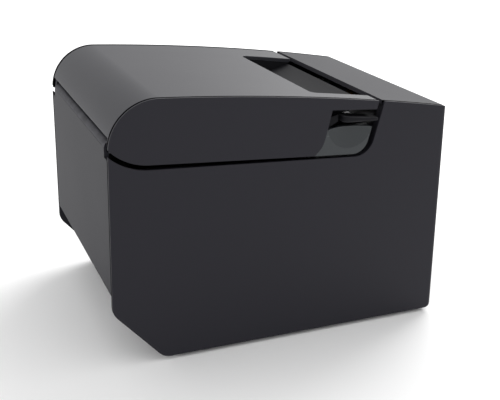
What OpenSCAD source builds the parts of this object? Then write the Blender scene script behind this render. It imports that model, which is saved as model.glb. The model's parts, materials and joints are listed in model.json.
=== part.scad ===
// Desktop receipt printer for 80 mm paper rolls: clamshell lid, print mechanism with
// automatic cutter, drop-in roll bay and a recessed connector bay under the rear overhang.
// X is the width (+X is the user's right), -Y is the user's side, +Z is up. The origin
// is at the bottom, in the middle of the footprint.

/* [Body] */
// Width over the side panels
body_w = 140; // [130:1:175]
// Depth from the front face to the rear face
body_d = 199; // [193:1:245]
// Height from the table to the highest point of the lid
body_h = 146; // [142:1:180]
// Thickness of the outer plastic walls
wall = 2.4; // [2:0.1:3]
// Gap between the table and the underside of the base
foot_h = 2.3; // [2:0.1:6]
// Radius of the rear edge of the lid
rear_r = 25.5; // [20:0.5:30]
// Radius of the gentle crown along the top
crown_r = 1430; // [1000:10:3000]
// How far the front face leans back, in degrees
front_lean = 2.3; // [0:0.1:4]
// How far the joint between lid and front cover leans forward, in degrees
seam_lean = 13.4; // [5:0.1:18]
// Height of the bottom edge of the rear panel, above the connector bay
bay_z = 43; // [40:1:46]

/* [Paper] */
// Width of the paper roll
roll_w = 80; // [66:1:82]
// Diameter of a full paper roll
roll_d = 83; // [60:1:85]
// Offset of the paper from the middle of the body
paper_x = -7.5; // [-9:0.5:-5]
// Gap through which the paper leaves, between lid and front cover
exit_gap = 3.6; // [3:0.1:5]

/* [Mechanism] */
// Diameter of the rubber platen roller
platen_d = 13; // [11:0.5:14]
// Diameter of the platen shaft
shaft_d = 5; // [4:0.5:6]
// Gear module
gear_m = 1; // [1:0.05:1.1]
// Teeth on the platen gear
platen_teeth = 16; // [15:1:18]
// Teeth on the idler gear
idler_teeth = 30; // [28:1:32]
// Teeth on the feed motor pinion and on the cutter pinion
pinion_teeth = 12; // [12:1:14]
// Travel of the moving blade
blade_stroke = 4.2; // [3:0.1:4.4]
// Thickness of the steel frame plates
plate_t = 1.2; // [1:0.1:1.6]
// Diameter of the pins the lid turns on
hinge_pin_d = 3; // [2:0.1:3.2]
// Diameter of the latch shaft
latch_d = 4; // [3:0.5:5]

/* [Fits] */
// Radial clearance of a shaft or pin in its bore
fit = 0.05; // [0.03:0.01:0.08]
// Side clearance between parts that slide or turn past each other
side_gap = 0.3; // [0.3:0.05:0.6]
// Gap between the print head and the platen for the paper
nip_gap = 0.3; // [0.3:0.05:0.5]

/* [Hidden] */
$fn = 64;
facet = 10;                      // length of the flat facets along the crown

// ---- Derived places, as [y, z] in the side view ----
rear_y = body_d / 2;
front_y = -body_d / 2;
half_w = body_w / 2;
in_x = half_w - wall;            // inner face of a side wall
tray_top = foot_h + wall;
lap_x = half_w - wall / 2;       // edge of the skin and the front cover, in the side walls' rebate
front_corner_r = 5;
front_edge_r = 3;                // upright front edges of the body
port_gap = 0.3;                  // clearance round each port in the rear wall of the tray
rear_c = [rear_y - rear_r, body_h - rear_r];
crown_ahead = 53;                // how far behind the rear radius the crown has its centre
crown_c = [rear_c[0] + crown_ahead,
           rear_c[1] - sqrt(pow(crown_r - rear_r, 2) - pow(crown_ahead, 2))];
crown_turn = asin(crown_ahead / (crown_r - rear_r));

// Lower outline of the lid cheek: a sloping line, a rear arc and a leaning front line
cheek_slope = 2.7;
cheek_arc_r = 30;
cheek_front_r = 9;
cheek_turn_y = rear_y - 20.5;    // where the line runs into the rear arc
cheek_turn_z = body_h - 33.3;
cheek_arc_c = [cheek_turn_y - cheek_arc_r * sin(cheek_slope),
               cheek_turn_z + cheek_arc_r * cos(cheek_slope)];
lid_front = [front_y + 52.6, body_h - 22.1];   // a point on the lid's front line
deck_z = round_z(lid_front[0], 0);             // height of the crown over that point
low_gap = 1.6;
rear_gap = 2.6;

hinge = [rear_y - 3.3, body_h - 24.6];
knuckle_r = 3.2;
knuckle_half = half_w - 8;       // half length of the hinge knuckle on the rear panel
lobe_x = knuckle_half + 0.6;     // inner face of the lid's hinge lobes
hinge_pin_in = 7;                // how far a hinge pin reaches into the knuckle

bay_half = roll_w / 2 + 2;       // half width inside the roll bay
bay_wall = 1.6;
cradle_r = roll_d / 2 + 2;
roll_c = [rear_y - wall - 14 - cradle_r - bay_wall, tray_top + 13.8 + cradle_r];
bay_left = paper_x - bay_half;
bay_right = paper_x + bay_half;

plate_left = bay_left - 5.3;     // inner face of the left frame plate
plate_right = bay_right + 4.5;   // inner face of the right frame plate
frame_top = deck_z - 17.4;
notch_rear = lid_front[0] + 31.9;
frame_rear = notch_rear;
platen_c = [lid_front[0] + 9.2, frame_top - 9];
lift_turn = atan2(hinge[1] - platen_c[1], hinge[0] - platen_c[0]);
nip_turn = 15;                   // how far the contact with the head lies below the horizontal
nip_n = [-cos(nip_turn), -sin(nip_turn)];
nip_t = [-sin(nip_turn), cos(nip_turn)];
nip = platen_c + (platen_d / 2) * nip_n;
arm_t = 3.5;                     // thickness of the platen holder's arms
bearing_d = shaft_d + 4;
gear_x = plate_right + plate_t + 1.8;
gear_w = 5;
gear_slack = 0.1;
mesh_gap = 0.1;

idler_dir = lift_turn - 90;
idler_c = platen_c + (gear_m * (platen_teeth + idler_teeth) / 2 + mesh_gap)
    * [cos(idler_dir), sin(idler_dir)];
pinion_dir = -107.4;
pinion_c = idler_c + (gear_m * (idler_teeth + pinion_teeth) / 2 + mesh_gap)
    * [cos(pinion_dir), sin(pinion_dir)];
platen_phase = idler_dir;
idler_phase = mesh_phase(platen_phase, idler_dir, platen_teeth, idler_teeth);
pinion_phase = mesh_phase(idler_phase, pinion_dir, idler_teeth, pinion_teeth);
axle_d = 4;
motor_d = 24;
motor_l = 20;
motor_shaft_d = 2.5;

plate_head_t = 1.2;
sink_t = 6;
head_pivot = nip - 24 * nip_t + 7 * nip_n;
pivot_d = 4;

blade_z = frame_top + 3.1;       // plane between the two blades
blade_t = 1;
blade_gap = 0.15;
blade_half = roll_w / 2 + 1;
blade_edge_y = platen_c[0] - platen_d / 2 - 1.2 - blade_stroke;  // moving edge when drawn back
blade_back_y = blade_edge_y - 22;
blade_slant = 0.8;
rack_l = 13;
rack_t = 3;
rack_x = paper_x + 4;            // pitch line of the rack
rack_y = blade_back_y - rack_l;
cutter_c = [rack_x + gear_m * pinion_teeth / 2 + mesh_gap, rack_y + 6];
cutter_motor_d = 18;
cutter_shaft_d = 3;
fixed_edge_y = platen_c[0] - platen_d / 2 - 2.4;

latch_c = [notch_rear + 1, frame_top + 2];
stud_c = [latch_c[0] - 5, latch_c[1] - 15];
stud_d = 3;
notch_left = paper_x - roll_w / 2 - 10;
notch_right = paper_x + roll_w / 2 + 10;
notch_wall = 1.6;
hook_t = 2;
hook_left = notch_left - notch_wall - side_gap;
hook_right = notch_right + notch_wall + side_gap;
scoop_rear_y = notch_rear - 5;

board_z = tray_top + 3;
board_t = 1.6;
bay_panel_y = rear_y - 33.5;     // rear face of the connector wall
bay_panel_top = 24;

rocker_x = in_x - 19.6;
rocker_z = foot_h + 19.7;
rocker_w = 12;
rocker_h = 20;
button_x = -in_x + 22.6;
button_z = deck_z - 28.4;
button_d = 10;
light_x0 = button_x + 17;
light_step = 8;
lights = 3;
cover_t = wall;
ledge_w = 5.2;
cover_foot_y = front_y + front_corner_r
    - sqrt(pow(front_corner_r, 2) - pow(foot_h + front_corner_r - tray_top, 2));
rear_cut_d = 27.6;               // depth, height and rounding of the side walls' rear lower corner
rear_cut_h = 30.8;
rear_cut_r = 9;

bay_top = bay_panel_top - 2;      // inner corner of the connector bay's ceiling
skin_low = body_h - 18.7;        // lower edge of the lid skin at the rear
liner_in = 9;                    // depth of the lid's inner liner below the outside
rib_step = in_x / 2 - 5.8;       // pitch of the ribs between skin and liner
lip_z = deck_z - 5;           // underside of the lid's lip over the finger grip
low_z = cheek_turn_z - 8;
guide_rear_z = deck_z - 8.8;      // exit guide: height at its rear, front edge and thickness
guide_front = [front_line_y(deck_z - 1.4) + 1.2, deck_z - 3.6];
guide_t = 1.8;
scoop_in_x = -half_w + 8;
lever_z = deck_z - 9.4;
lever_front = front_line_y(lever_z) - 2.87;
lever_x0 = -half_w + 5;
lever_x1 = hook_left - hook_t - side_gap;
holder_rear = platen_c[0] + 17.7;
blade_screw_x = [paper_x - 0.4 * roll_w, paper_x + 0.4 * roll_w];
bed_rear = platen_c[0] - platen_d / 2 - 6.6;
beam_y = platen_c[0] - 26.8;
beam_z = frame_top - 35;
arch_z = tray_top + 37.3;        // top of the opening between the legs of a frame plate
spring_z = frame_top - 20;
spring_l = 10;
spring_turns = 6;
board_x0 = bay_left + 1.5;
board_x1 = bay_right - 1.5;
board_front = front_y + 10;
board_posts = [[board_x0 + 6, board_front + 6], [board_x1 - 6, board_front + 6],
               [board_x0 + 6, bay_panel_y - 54], [board_x1 - 6, bay_panel_y - 54]];
port_l = 9;
port_top = board_z + board_t + 10.5;
port_mid_z = board_z + board_t + 5.5;
// Middle and width of each connector, seen from above: power, network, data and drawer
ports = [for (p = [[-0.375, 15], [-0.1125, 16], [0.11875, 12], [0.325, 14]])
    [paper_x + p[0] * roll_w, p[1]]];
plate_screw_x = [board_x0 - 1, board_x1 + 6];
control_y = front_face_y(button_z, wall) + 3.35;  // front face of the control board
frame_front = control_y + 1.7;
control_x0 = button_x - 12;
control_x1 = light_x0 + (lights - 1) * light_step + 10;
rocker_tilt = 5;
rocker_c = [front_face_y(rocker_z) + 5.2, rocker_z];
sensor_x = bay_left - bay_wall - 3.5;
sensor_y = roll_c[0] - 18;
sensor_z = roll_c[1] - 12;

// ---- Outline functions ----
function unit(v) = v / norm(v);

// Points of one corner of an outline, rounded to radius b[2]
function corner(a, b, c) =
    b[2] == 0 ? [[b[0], b[1]]] :
    let (p = [b[0], b[1]], u = unit([a[0], a[1]] - p), v = unit([c[0], c[1]] - p),
         half = acos(u * v) / 2, mid = p + unit(u + v) * b[2] / sin(half),
         s = p + u * b[2] / tan(half) - mid, e = p + v * b[2] / tan(half) - mid,
         start = atan2(s[1], s[0]), turn = atan2(s[0] * e[1] - s[1] * e[0], s * e),
         steps = max(2, ceil(abs(turn) / 11)))
    [for (i = [0:steps]) mid + b[2] * [cos(start + turn * i / steps), sin(start + turn * i / steps)]];

// Closed outline from [y, z, radius] points
function rounded(p) =
    [for (i = [0:len(p) - 1]) each corner(p[(i + len(p) - 1) % len(p)], p[i], p[(i + 1) % len(p)])];

function arc(c, r, a0, a1, steps = 12) =
    [for (i = [0:steps]) c + r * [cos(a0 + (a1 - a0) * i / steps), sin(a0 + (a1 - a0) * i / steps)]];

function round_z(y, t) = crown_c[1] + sqrt(pow(crown_r - t, 2) - pow(y - crown_c[0], 2));

// Height of the crown at y, t below the outside, on facets that every piece shares
function crown_z(y, t = 0) = let (k = floor(y / facet) * facet)
    round_z(k, t) + (round_z(k + facet, t) - round_z(k, t)) * (y - k) / facet;

// Points along the crown from y0 to y1, in either direction
function crown_line(y0, y1, t = 0) =
    let (lo = min(y0, y1), hi = max(y0, y1), ys = concat([lo],
        [for (k = [floor(lo / facet) + 1:ceil(hi / facet) - 1]) k * facet], [hi]),
        p = [for (y = ys) [y, crown_z(y, t)]])
    y0 < y1 ? p : reversed(p);

// The lid's outside from its front at y0 over the rear radius, down to height z1, t below the skin
function lid_back(y0, z1, t) = concat(
    crown_line(y0, crown_c[0] - (crown_r - t) * sin(crown_turn), t),
    arc(rear_c, rear_r - t, 90 + crown_turn - 6, max(asin((z1 - rear_c[1]) / (rear_r - t)), 0)),
    z1 < rear_c[1] ? [[rear_y - t, z1]] : []);

function front_line_y(z, out = 0) =
    lid_front[0] - out / cos(seam_lean) - (z - lid_front[1]) * tan(seam_lean);

// Where the leaning front line, moved out by a gap, meets the crown
function seam_top_y(out = 0, t = 0) =
    let (y1 = front_line_y(body_h - 10, out), y2 = front_line_y(crown_z(y1, t), out))
    front_line_y(crown_z(y2, t), out);

// Centre of the rounded front lower corner, with gaps to the line and to the front
function front_corner_c(r, low, out) =
    let (nf = [cos(seam_lean), sin(seam_lean)], nb = [-sin(cheek_slope), cos(cheek_slope)],
         df = nf * lid_front + r - out, db = nb * [cheek_turn_y, cheek_turn_z] + r - low,
         det = nf[0] * nb[1] - nf[1] * nb[0])
    [(df * nb[1] - db * nf[1]) / det, (nf[0] * db - nb[0] * df) / det];

// Lower outline from the rear face to the top of the front line
function cheek_low(r, low, back, out, t = 0) = concat(
    arc(cheek_arc_c, cheek_arc_r + back, -acos((rear_y - cheek_arc_c[0]) / (cheek_arc_r + back)),
        -90 + cheek_slope),
    arc(front_corner_c(r, low, out), r, 270 + cheek_slope, 180 + seam_lean),
    [[seam_top_y(out, t), crown_z(seam_top_y(out, t), t)]]);

function front_face_y(z, t = 0) =
    front_y + (z - foot_h - front_corner_r) * tan(front_lean) + t / cos(front_lean);

cover_top_y = front_face_y(body_h - 17);

// Top and front of the front cover, t below the outside
function cover_line(t) = concat(
    crown_line(seam_top_y(exit_gap, t), cover_top_y + 3, t),
    let (z = crown_z(cover_top_y, t)) corner([cover_top_y + 3, crown_z(cover_top_y + 3, t)],
        [front_face_y(z, t), z, max(2 - t, 0.3)], [front_face_y(foot_h + 20, t), foot_h + 20]),
    [[front_face_y(foot_h + front_corner_r, t), foot_h + front_corner_r],
     [cover_foot_y + t / cos(front_lean), tray_top]]);

// Height of the hollow top of the exit guide at y
function guide_z(y) = let (k = floor(y / 5) * 5)
    hollow_z(k) + (hollow_z(k + 5) - hollow_z(k)) * (y - k) / 5;

function hollow_z(y) = let (u = (y - notch_rear) / (guide_front[0] - notch_rear))
    guide_rear_z + (guide_front[1] - guide_rear_z) * u - 4.8 * u * (1 - u);

function guide_line(y0, y1, down = 0) = concat([[y0, guide_z(y0) - down]],
    [for (k = [ceil(y0 / 5) - 1:-1:floor(y1 / 5) + 1]) [k * 5, guide_z(k * 5) - down]],
    [[y1, guide_z(y1) - down]]);

function reversed(p) = [for (i = [len(p) - 1:-1:0]) p[i]];

// ---- Gears ----
function inv(a) = tan(a) * 180 / PI - a;

function flank_turn(n, r, slack) =
    90 / n - slack * 180 / PI / (gear_m * n / 2) + inv(20)
    - inv(acos(min(1, gear_m * n / 2 * cos(20) / r)));

function gear_points(n, slack = gear_slack) =
    let (rp = gear_m * n / 2, root = rp - 1.2 * gear_m, tip = rp + 0.85 * gear_m,
         base = max(rp * cos(20), root + 0.05))
    [for (k = [0:n - 1]) each concat(
        [root_point(k * 360 / n - flank_turn(n, base, slack), root)],
        [for (i = [0:3]) let (r = base + (tip - base) * i / 3, a = k * 360 / n - flank_turn(n, r, slack))
            r * [cos(a), sin(a)]],
        [for (i = [3:-1:0]) let (r = base + (tip - base) * i / 3, a = k * 360 / n + flank_turn(n, r, slack))
            r * [cos(a), sin(a)]],
        [root_point(k * 360 / n + flank_turn(n, base, slack), root)])];

function root_point(a, root) = [root * cos(a), root * sin(a)];

// Turn of the next gear that puts its teeth in mesh with a gear whose teeth stand at turn lead
function mesh_phase(lead, dir, n_lead, n_next) =
    dir + 180 - (lead - dir) * n_lead / n_next + 180 / n_next;

// ---- Helpers ----
// Extrudes a side view, drawn as (y, z), along X
module along_x(x0, x1) {
    translate([x0, 0, 0]) rotate([90, 0, 90]) linear_extrude(x1 - x0) children();
}

module box(x0, x1, y0, y1, z0, z1) {
    translate([x0, y0, z0]) cube([x1 - x0, y1 - y0, z1 - z0]);
}

// Round bar along X about the point c = [y, z]
module bar_x(x0, x1, c, d) {
    translate([x0, c[0], c[1]]) rotate([0, 90, 0]) cylinder(h = x1 - x0, d = d);
}

module bar_y(x, z, y0, y1, d) {
    translate([x, y0, z]) rotate([-90, 0, 0]) cylinder(h = y1 - y0, d = d);
}

module bar_z(x, y, z0, z1, d) {
    translate([x, y, z0]) cylinder(h = z1 - z0, d = d);
}

// Pan-head screw standing on its thread, head up
module screw(d = 3, l = 6) {
    cylinder(h = l, d = d);
    translate([0, 0, l]) difference() {
        cylinder(h = 1.8, d = 2 * d);
        translate([0, 0, 0.8]) linear_extrude(2) square([d * 1.2, 0.7], center = true);
        translate([0, 0, 0.8]) linear_extrude(2) square([0.7, d * 1.2], center = true);
    }
}

// Spur gear with its axis along X, one tooth at angle phase in the side view
module gear_x_axis(n, x0, w, c, phase, bore) {
    translate([0, c[0], c[1]]) along_x(x0, x0 + w) difference() {
        rotate(phase) polygon(gear_points(n));
        circle(d = bore);
    }
}

module cheek_outline(t = 0) {
    polygon(concat(reversed(lid_back(seam_top_y(0, t), cheek_rear_z(t), t)),
        [for (p = reversed(cheek_low(cheek_front_r, 0, 0, 0, t))) if (p[0] < rear_y - t) p]));
}

function cheek_rear_z(t) =
    cheek_arc_c[1] - sqrt(pow(cheek_arc_r, 2) - pow(rear_y - t - cheek_arc_c[0], 2));

// Side view of the body's side wall, with the cut-out that the lid drops into
module wall_outline() {
    base = foot_h;
    polygon(concat(cheek_low(cheek_front_r + 2, low_gap, rear_gap, exit_gap),
        [for (p = cover_line(0)) if (p[1] > base + front_corner_r) p],
        arc([front_face_y(base + front_corner_r) + front_corner_r, base + front_corner_r],
            front_corner_r, 180, 270, 6),
        rounded_run([[rear_y - rear_cut_d, base, rear_cut_r], [rear_y, base + rear_cut_h, rear_cut_r]],
            [front_y + 20, base], [rear_y, base + 60])));
}

function rounded_run(p, before, after) =
    let (last = len(p) - 1)
    [for (i = [0:last]) each corner(i == 0 ? before : p[i - 1], p[i], i == last ? after : p[i + 1])];

module cover_profile(slack = 0) {
    polygon(concat(cover_line(0), reversed(cover_line(cover_t + slack))));
}

// A point of the print head: a away from the paper, b up along it
function head_at(a, b) = nip + (nip_gap + a) * nip_n + b * nip_t;

// ---- Body ----
module base_tray() {
    color("#3c3e42") difference() {
        union() {
            along_x(-in_x, in_x) polygon([
                [front_face_y(tray_top, wall), foot_h], [bay_panel_y, foot_h],
                [bay_panel_y, bay_top], [rear_y - wall, bay_z], [rear_y - wall, bay_z + wall],
                [bay_panel_y - wall, bay_top + wall], [bay_panel_y - wall, tray_top],
                [front_face_y(tray_top, wall), tray_top]]);
            for (p = board_posts) bar_z(p[0], p[1], foot_h + 0.5, board_z, 7);
        }
        for (p = board_posts) bar_z(p[0], p[1], tray_top - 0.4, board_z + 1, 3);
        for (p = ports) box(p[0] - p[1] / 2 - port_gap, p[0] + p[1] / 2 + port_gap,
            bay_panel_y - wall - 1, bay_panel_y + 1,
            board_z + board_t - port_gap, port_top + port_gap);
        for (x = plate_screw_x) bar_y(x, port_mid_z, bay_panel_y - wall - 1, bay_panel_y + 1, 3);
    }
}

module side_panel(side) {
    mirror([side < 0 ? 1 : 0, 0, 0]) difference() {
        union() {
            along_x(lap_x, half_w) wall_outline();
            along_x(in_x, lap_x) difference() {
                wall_outline();
                cover_profile();
                translate([rear_y - wall, bay_z]) square([wall + 1, body_h]);
            }
            gap_ledge();
        }
        front_edge_cut();
    }
}

// What the rounding takes off the right upright front edge, which leans with the front face
module front_edge_cut() {
    r = front_edge_r;
    translate([half_w - r, front_y, foot_h + front_corner_r]) rotate([-front_lean, 0, 0])
        translate([0, 0, -body_h]) linear_extrude(2 * body_h) difference() {
            translate([0, -1]) square([r + 1, r + 1]);
            translate([0, r]) circle(r = r);
        }
}

// Ledge inside the side wall that closes the gap below the lid
module gap_ledge() {
    r = cheek_front_r + 2;
    along_x(in_x - ledge_w, in_x) intersection() {
        polygon(concat(cheek_low(r, low_gap, rear_gap, exit_gap, cover_t),
            reversed(cheek_low(r + 1.5, low_gap + 1.5, rear_gap + 1.5, exit_gap + 1.5, cover_t))));
        translate([front_y, 0]) square([body_d - wall, body_h]);
    }
}

module side_panel_left() {
    color("#34363c") side_panel(-1);
}

module side_panel_right() {
    color("#34363c") side_panel(1);
}

module rear_panel() {
    color("#46464a") difference() {
        union() {
            box(-lap_x, lap_x, rear_y - wall, rear_y, bay_z, hinge[1] - 5);
            box(-knuckle_half, knuckle_half, rear_y - wall, rear_y, bay_z, hinge[1]);
            bar_x(-knuckle_half, knuckle_half, hinge, 2 * knuckle_r);
        }
        for (x = [-knuckle_half - 1, knuckle_half - hinge_pin_in - 0.5])
            bar_x(x, x + hinge_pin_in + 1.5, hinge, hinge_pin_d + 2 * fit);
    }
}

module front_cover() {
    color("#3a3c41") difference() {
        union() {
            along_x(-lap_x, lap_x) cover_profile();
            for (x = [control_x0 + 3, control_x1 - 4])
                bar_y(x, button_z, front_face_y(button_z, wall / 2), control_y, 6);
        }
        bar_y(button_x, button_z, front_y - 1, control_y + 5, button_d + 0.6);
        for (i = [0:lights - 1]) bar_y(light_x0 + i * light_step, button_z, front_y - 1, control_y + 5, 3);
        box(rocker_x - rocker_w / 2 - 2, rocker_x + rocker_w / 2 + 2, front_y - 1, front_y + 8,
            rocker_z - rocker_h / 2 - 2, rocker_z + rocker_h / 2 + 2);
        for (side = [0, 1]) mirror([side, 0, 0]) front_edge_cut();
    }
}

module roll_cradle() {
    rim = frame_top - 15;
    color("#2c2d30") difference() {
        union() {
            along_x(bay_left, bay_right) difference() {
                union() {
                    circle_at(roll_c, cradle_r + bay_wall);
                    translate([roll_c[0] - cradle_r - bay_wall, roll_c[1]])
                        square([2 * cradle_r + 2 * bay_wall, rim - roll_c[1]]);
                }
                circle_at(roll_c, cradle_r);
                translate([roll_c[0] - cradle_r, roll_c[1]]) square([2 * cradle_r, rim]);
            }
            for (x = [bay_left - bay_wall, bay_right]) along_x(x, x + bay_wall) union() {
                circle_at(roll_c, cradle_r + bay_wall);
                translate([roll_c[0] - cradle_r - bay_wall, roll_c[1]])
                    square([2 * cradle_r + 2 * bay_wall, rim - roll_c[1]]);
                translate([roll_c[0] - 18, tray_top]) square([36, roll_c[1]]);
            }
            box(bay_left - bay_wall, bay_right + bay_wall,
                roll_c[0] + cradle_r, rear_y - wall, rim - bay_wall, rim);
            for (x = [-in_x, bay_right]) box(x, x == bay_right ? in_x : bay_left,
                roll_c[0] - cradle_r, roll_c[0] + cradle_r, rim - bay_wall, rim);
        }
        box(bay_left - bay_wall - 1, bay_left + 1, sensor_y - 2, sensor_y + 24, sensor_z - 4, sensor_z + 4);
    }
}

module circle_at(c, r) {
    translate(c) circle(r = r);
}

module rubber_feet() {
    color("#1c1c1c") for (x = [-1, 1]) for (y = [front_y + 20, rear_y - 40])
        bar_z(x * (in_x - 9), y, 0, foot_h, 12);
}

module base_screws() {
    color("silver") for (p = board_posts) translate([p[0], p[1], board_z + board_t - 5]) screw(3, 5);
}

// ---- Print mechanism frame ----
module frame_plate(x, slot) {
    along_x(x, x + plate_t) difference() {
        polygon(rounded([
            [frame_front, frame_top, 2], [frame_front, frame_top - 22, 4],
            [frame_front + 8, frame_top - 30, 4],
            [frame_front + 8, tray_top, 0], [frame_front + 22, tray_top, 0], [frame_front + 22, arch_z, 6],
            [frame_rear - 14, arch_z, 6], [frame_rear - 14, tray_top, 0], [frame_rear, tray_top, 0],
            [frame_rear, frame_top - 9, 2], [frame_rear - 13, frame_top, 3]]));
        circle_at(head_pivot, pivot_d / 2 + fit);
        circle_at(stud_c, stud_d / 2);
        circle_at([beam_y + 2, beam_z + 4], 1.5);
        circle_at([beam_y + 2, beam_z + 16], 1.5);
        if (slot) {
            circle_at(platen_c, shaft_d / 2 + 1.2);
            translate([platen_c[0] - shaft_d / 2 - 1.2, platen_c[1]]) square([shaft_d + 2.4, 30]);
            circle_at(idler_c, axle_d / 2);
            circle_at(pinion_c, 5);
        }
    }
}

module frame_plate_left() {
    color("#a9acb0") frame_plate(plate_left - plate_t, false);
}

module frame_plate_right() {
    color("#a9acb0") frame_plate(plate_right, true);
}

module frame_beam() {
    color("#a9acb0") difference() {
        box(plate_left, plate_right, beam_y, beam_y + 4, beam_z, beam_z + 20);
        box(plate_left + 4, plate_right - 4, beam_y - 1, beam_y + 2.6, beam_z + 1.4, beam_z + 18.6);
        for (x = [plate_left - 1, plate_right - 5]) for (z = [4, 16])
            bar_x(x, x + 6, [beam_y + 2, beam_z + z], 3);
    }
}

module frame_screws() {
    color("silver") for (z = [4, 16]) {
        translate([plate_left + 4, beam_y + 2, beam_z + z]) rotate([0, -90, 0]) screw(3, 4 + plate_t);
        translate([plate_right - 4, beam_y + 2, beam_z + z]) rotate([0, 90, 0]) screw(3, 4 + plate_t);
    }
}

module lock_studs() {
    color("silver") {
        bar_x(hook_left - hook_t - 0.4, plate_left, stud_c, stud_d);
        bar_x(plate_right, hook_right + hook_t + 0.4, stud_c, stud_d);
    }
}

module feed_motor() {
    color("#8c8f94") difference() {
        union() {
            bar_x(plate_right - motor_l, plate_right, pinion_c, motor_d);
            bar_x(plate_right, plate_right + plate_t, pinion_c, 10);
        }
        bar_x(plate_right - motor_l + 4, plate_right + 5, pinion_c, motor_shaft_d + 2 * fit);
    }
}

module idler_axle() {
    color("silver") {
        bar_x(plate_right, gear_x + gear_w + 0.3, idler_c, axle_d);
        bar_x(gear_x + gear_w + 0.3, gear_x + gear_w + 1.3, idler_c, axle_d + 3);
    }
}

// Three compression springs that press the head towards the platen
module head_springs() {
    color("#c0c2c6") for (k = [-1:1]) translate([paper_x + k * 0.35 * roll_w, beam_y + 4, spring_z])
        rotate([-90, 0, 0]) rotate_extrude() polygon(concat([[0, 0]],
            [for (i = [0:spring_turns * 2]) [i % 2 == 0 ? 2.9 : 2.2, i * spring_l / (spring_turns * 2)]],
            [[0, spring_l]]));
}

module cutter_bed() {
    blade_x0 = paper_x - blade_half;
    blade_x1 = paper_x + blade_half;
    under = blade_z - blade_t - 0.1;
    color("#6d7075") difference() {
        union() {
            box(plate_left - plate_t, plate_right + plate_t, frame_front, bed_rear, frame_top, under);
            for (s = [-1, 1]) {
                x = paper_x + s * (blade_half + side_gap);
                box(min(x, x + 3 * s), max(x, x + 3 * s), blade_back_y, bed_rear, frame_top, blade_z + 1);
                box(min(x - 2 * s, x), max(x - 2 * s, x), blade_back_y + blade_stroke, bed_rear,
                    blade_z + 0.1, blade_z + 1);
            }
        }
        box(rack_x - 10 - side_gap, rack_x + gear_m + side_gap, rack_y - side_gap,
            blade_back_y + blade_stroke + side_gap + gear_m, frame_top - 1, blade_z);
        bar_z(cutter_c[0], cutter_c[1], frame_top - 1, blade_z, gear_m * (pinion_teeth + 2) + 1);
        for (x = [-18, 18]) bar_z(cutter_c[0] + x, cutter_c[1], frame_top - 1, blade_z, 3);
    }
}

module cutter_motor() {
    color("#8c8f94") difference() {
        union() {
            bar_z(cutter_c[0], cutter_c[1], frame_top - 24, frame_top - 1.4, cutter_motor_d);
            box(cutter_c[0] - 21, cutter_c[0] + 21, cutter_c[1] - 6, cutter_c[1] + 10,
                frame_top - 1.4, frame_top);
        }
        bar_z(cutter_c[0], cutter_c[1], frame_top - 10, frame_top + 1, cutter_shaft_d + 2 * fit);
    }
}

// ---- Electronics ----
module main_board() {
    color("#1f5a3a") difference() {
        box(board_x0, board_x1, board_front, bay_panel_y - wall - 0.5, board_z, board_z + board_t);
        for (p = board_posts) bar_z(p[0], p[1], board_z - 1, board_z + 3, 3);
    }
}

module board_chips() {
    color("#17181a") {
        // Middle and size of each chip, from the front left corner of the board
        for (c = [[28, 27.5, 16, 16], [58, 49.5, 12, 12], [10, 53.5, 8, 14], [18, 93.5, 10, 8],
                  [46, 95.5, 8, 8]])
            translate([board_x0 + c[0] - c[2] / 2, board_front + c[1] - c[3] / 2, board_z + board_t])
                cube([c[2], c[3], 1.6]);
    }
}

module board_capacitors() {
    color("#2b3350") for (p = [[6, 17.5], [6, 31.5], [20, 9.5]])
        bar_z(board_x0 + p[0], board_front + p[1], board_z + board_t, board_z + board_t + 15, 10);
}

module connector_plate() {
    color("#b4b6ba") difference() {
        box(board_x0 - 4, board_x1 + 10, bay_panel_y, bay_panel_y + 0.8, tray_top, bay_top - 0.5);
        for (p = ports) box(p[0] - p[1] / 2 - 0.3, p[0] + p[1] / 2 + 0.3, bay_panel_y - 1, bay_panel_y + 2,
            board_z + board_t - 0.3, port_top + 0.3);
        for (x = plate_screw_x) bar_y(x, port_mid_z, bay_panel_y - 1, bay_panel_y + 2, 3);
    }
}

// Housing of a connector that stands on the main board and faces the rear, with an open socket
module port(p, w, h, depth) {
    difference() {
        box(p[0] - p[1] / 2, p[0] + p[1] / 2, bay_panel_y - port_l, bay_panel_y + 0.8,
            board_z + board_t, port_top);
        box(p[0] - w / 2, p[0] + w / 2, bay_panel_y + 0.8 - depth, bay_panel_y + 2,
            port_mid_z - h / 2, port_mid_z + h / 2);
    }
}

module power_inlet() {
    color("#1d1d1f") {
        difference() {
            port(ports[0], 1, 1, 0);
            bar_y(ports[0][0], port_mid_z, bay_panel_y - 5, bay_panel_y + 2, 9.4);
        }
        for (a = [90, 210, 330])
            bar_y(ports[0][0] + 2.6 * cos(a), port_mid_z + 2.6 * sin(a),
                bay_panel_y - 5, bay_panel_y - 1, 1.2);
    }
}

module network_port() {
    color("#9a9ca0") port(ports[1], 12, 7, 7);
}

module usb_port() {
    color("#c4c6ca") {
        port(ports[2], 9, 8, 7);
        box(ports[2][0] - 2.8, ports[2][0] + 2.8, bay_panel_y - 6.4, bay_panel_y - 0.6,
            port_mid_z - 1.6, port_mid_z + 1.2);
    }
}

module drawer_port() {
    color("#1d1d1f") port(ports[3], 10, 6.6, 7);
}

module bay_screws() {
    color("silver") for (x = plate_screw_x)
        translate([x, bay_panel_y + 0.8 - 4, port_mid_z]) rotate([-90, 0, 0]) screw(3, 4);
}

module control_board() {
    color("#1f5a3a") {
        box(control_x0, control_x1, control_y, control_y + board_t, button_z - 9, button_z + 9);
        box(button_x - 3, button_x + 3, control_y - 1, control_y, button_z - 3, button_z + 3);
    }
}

module light_pipes() {
    color("#b9c4c8") for (i = [0:lights - 1])
        bar_y(light_x0 + i * light_step, button_z, front_face_y(button_z) - 0.3, control_y, 3);
}

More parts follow.
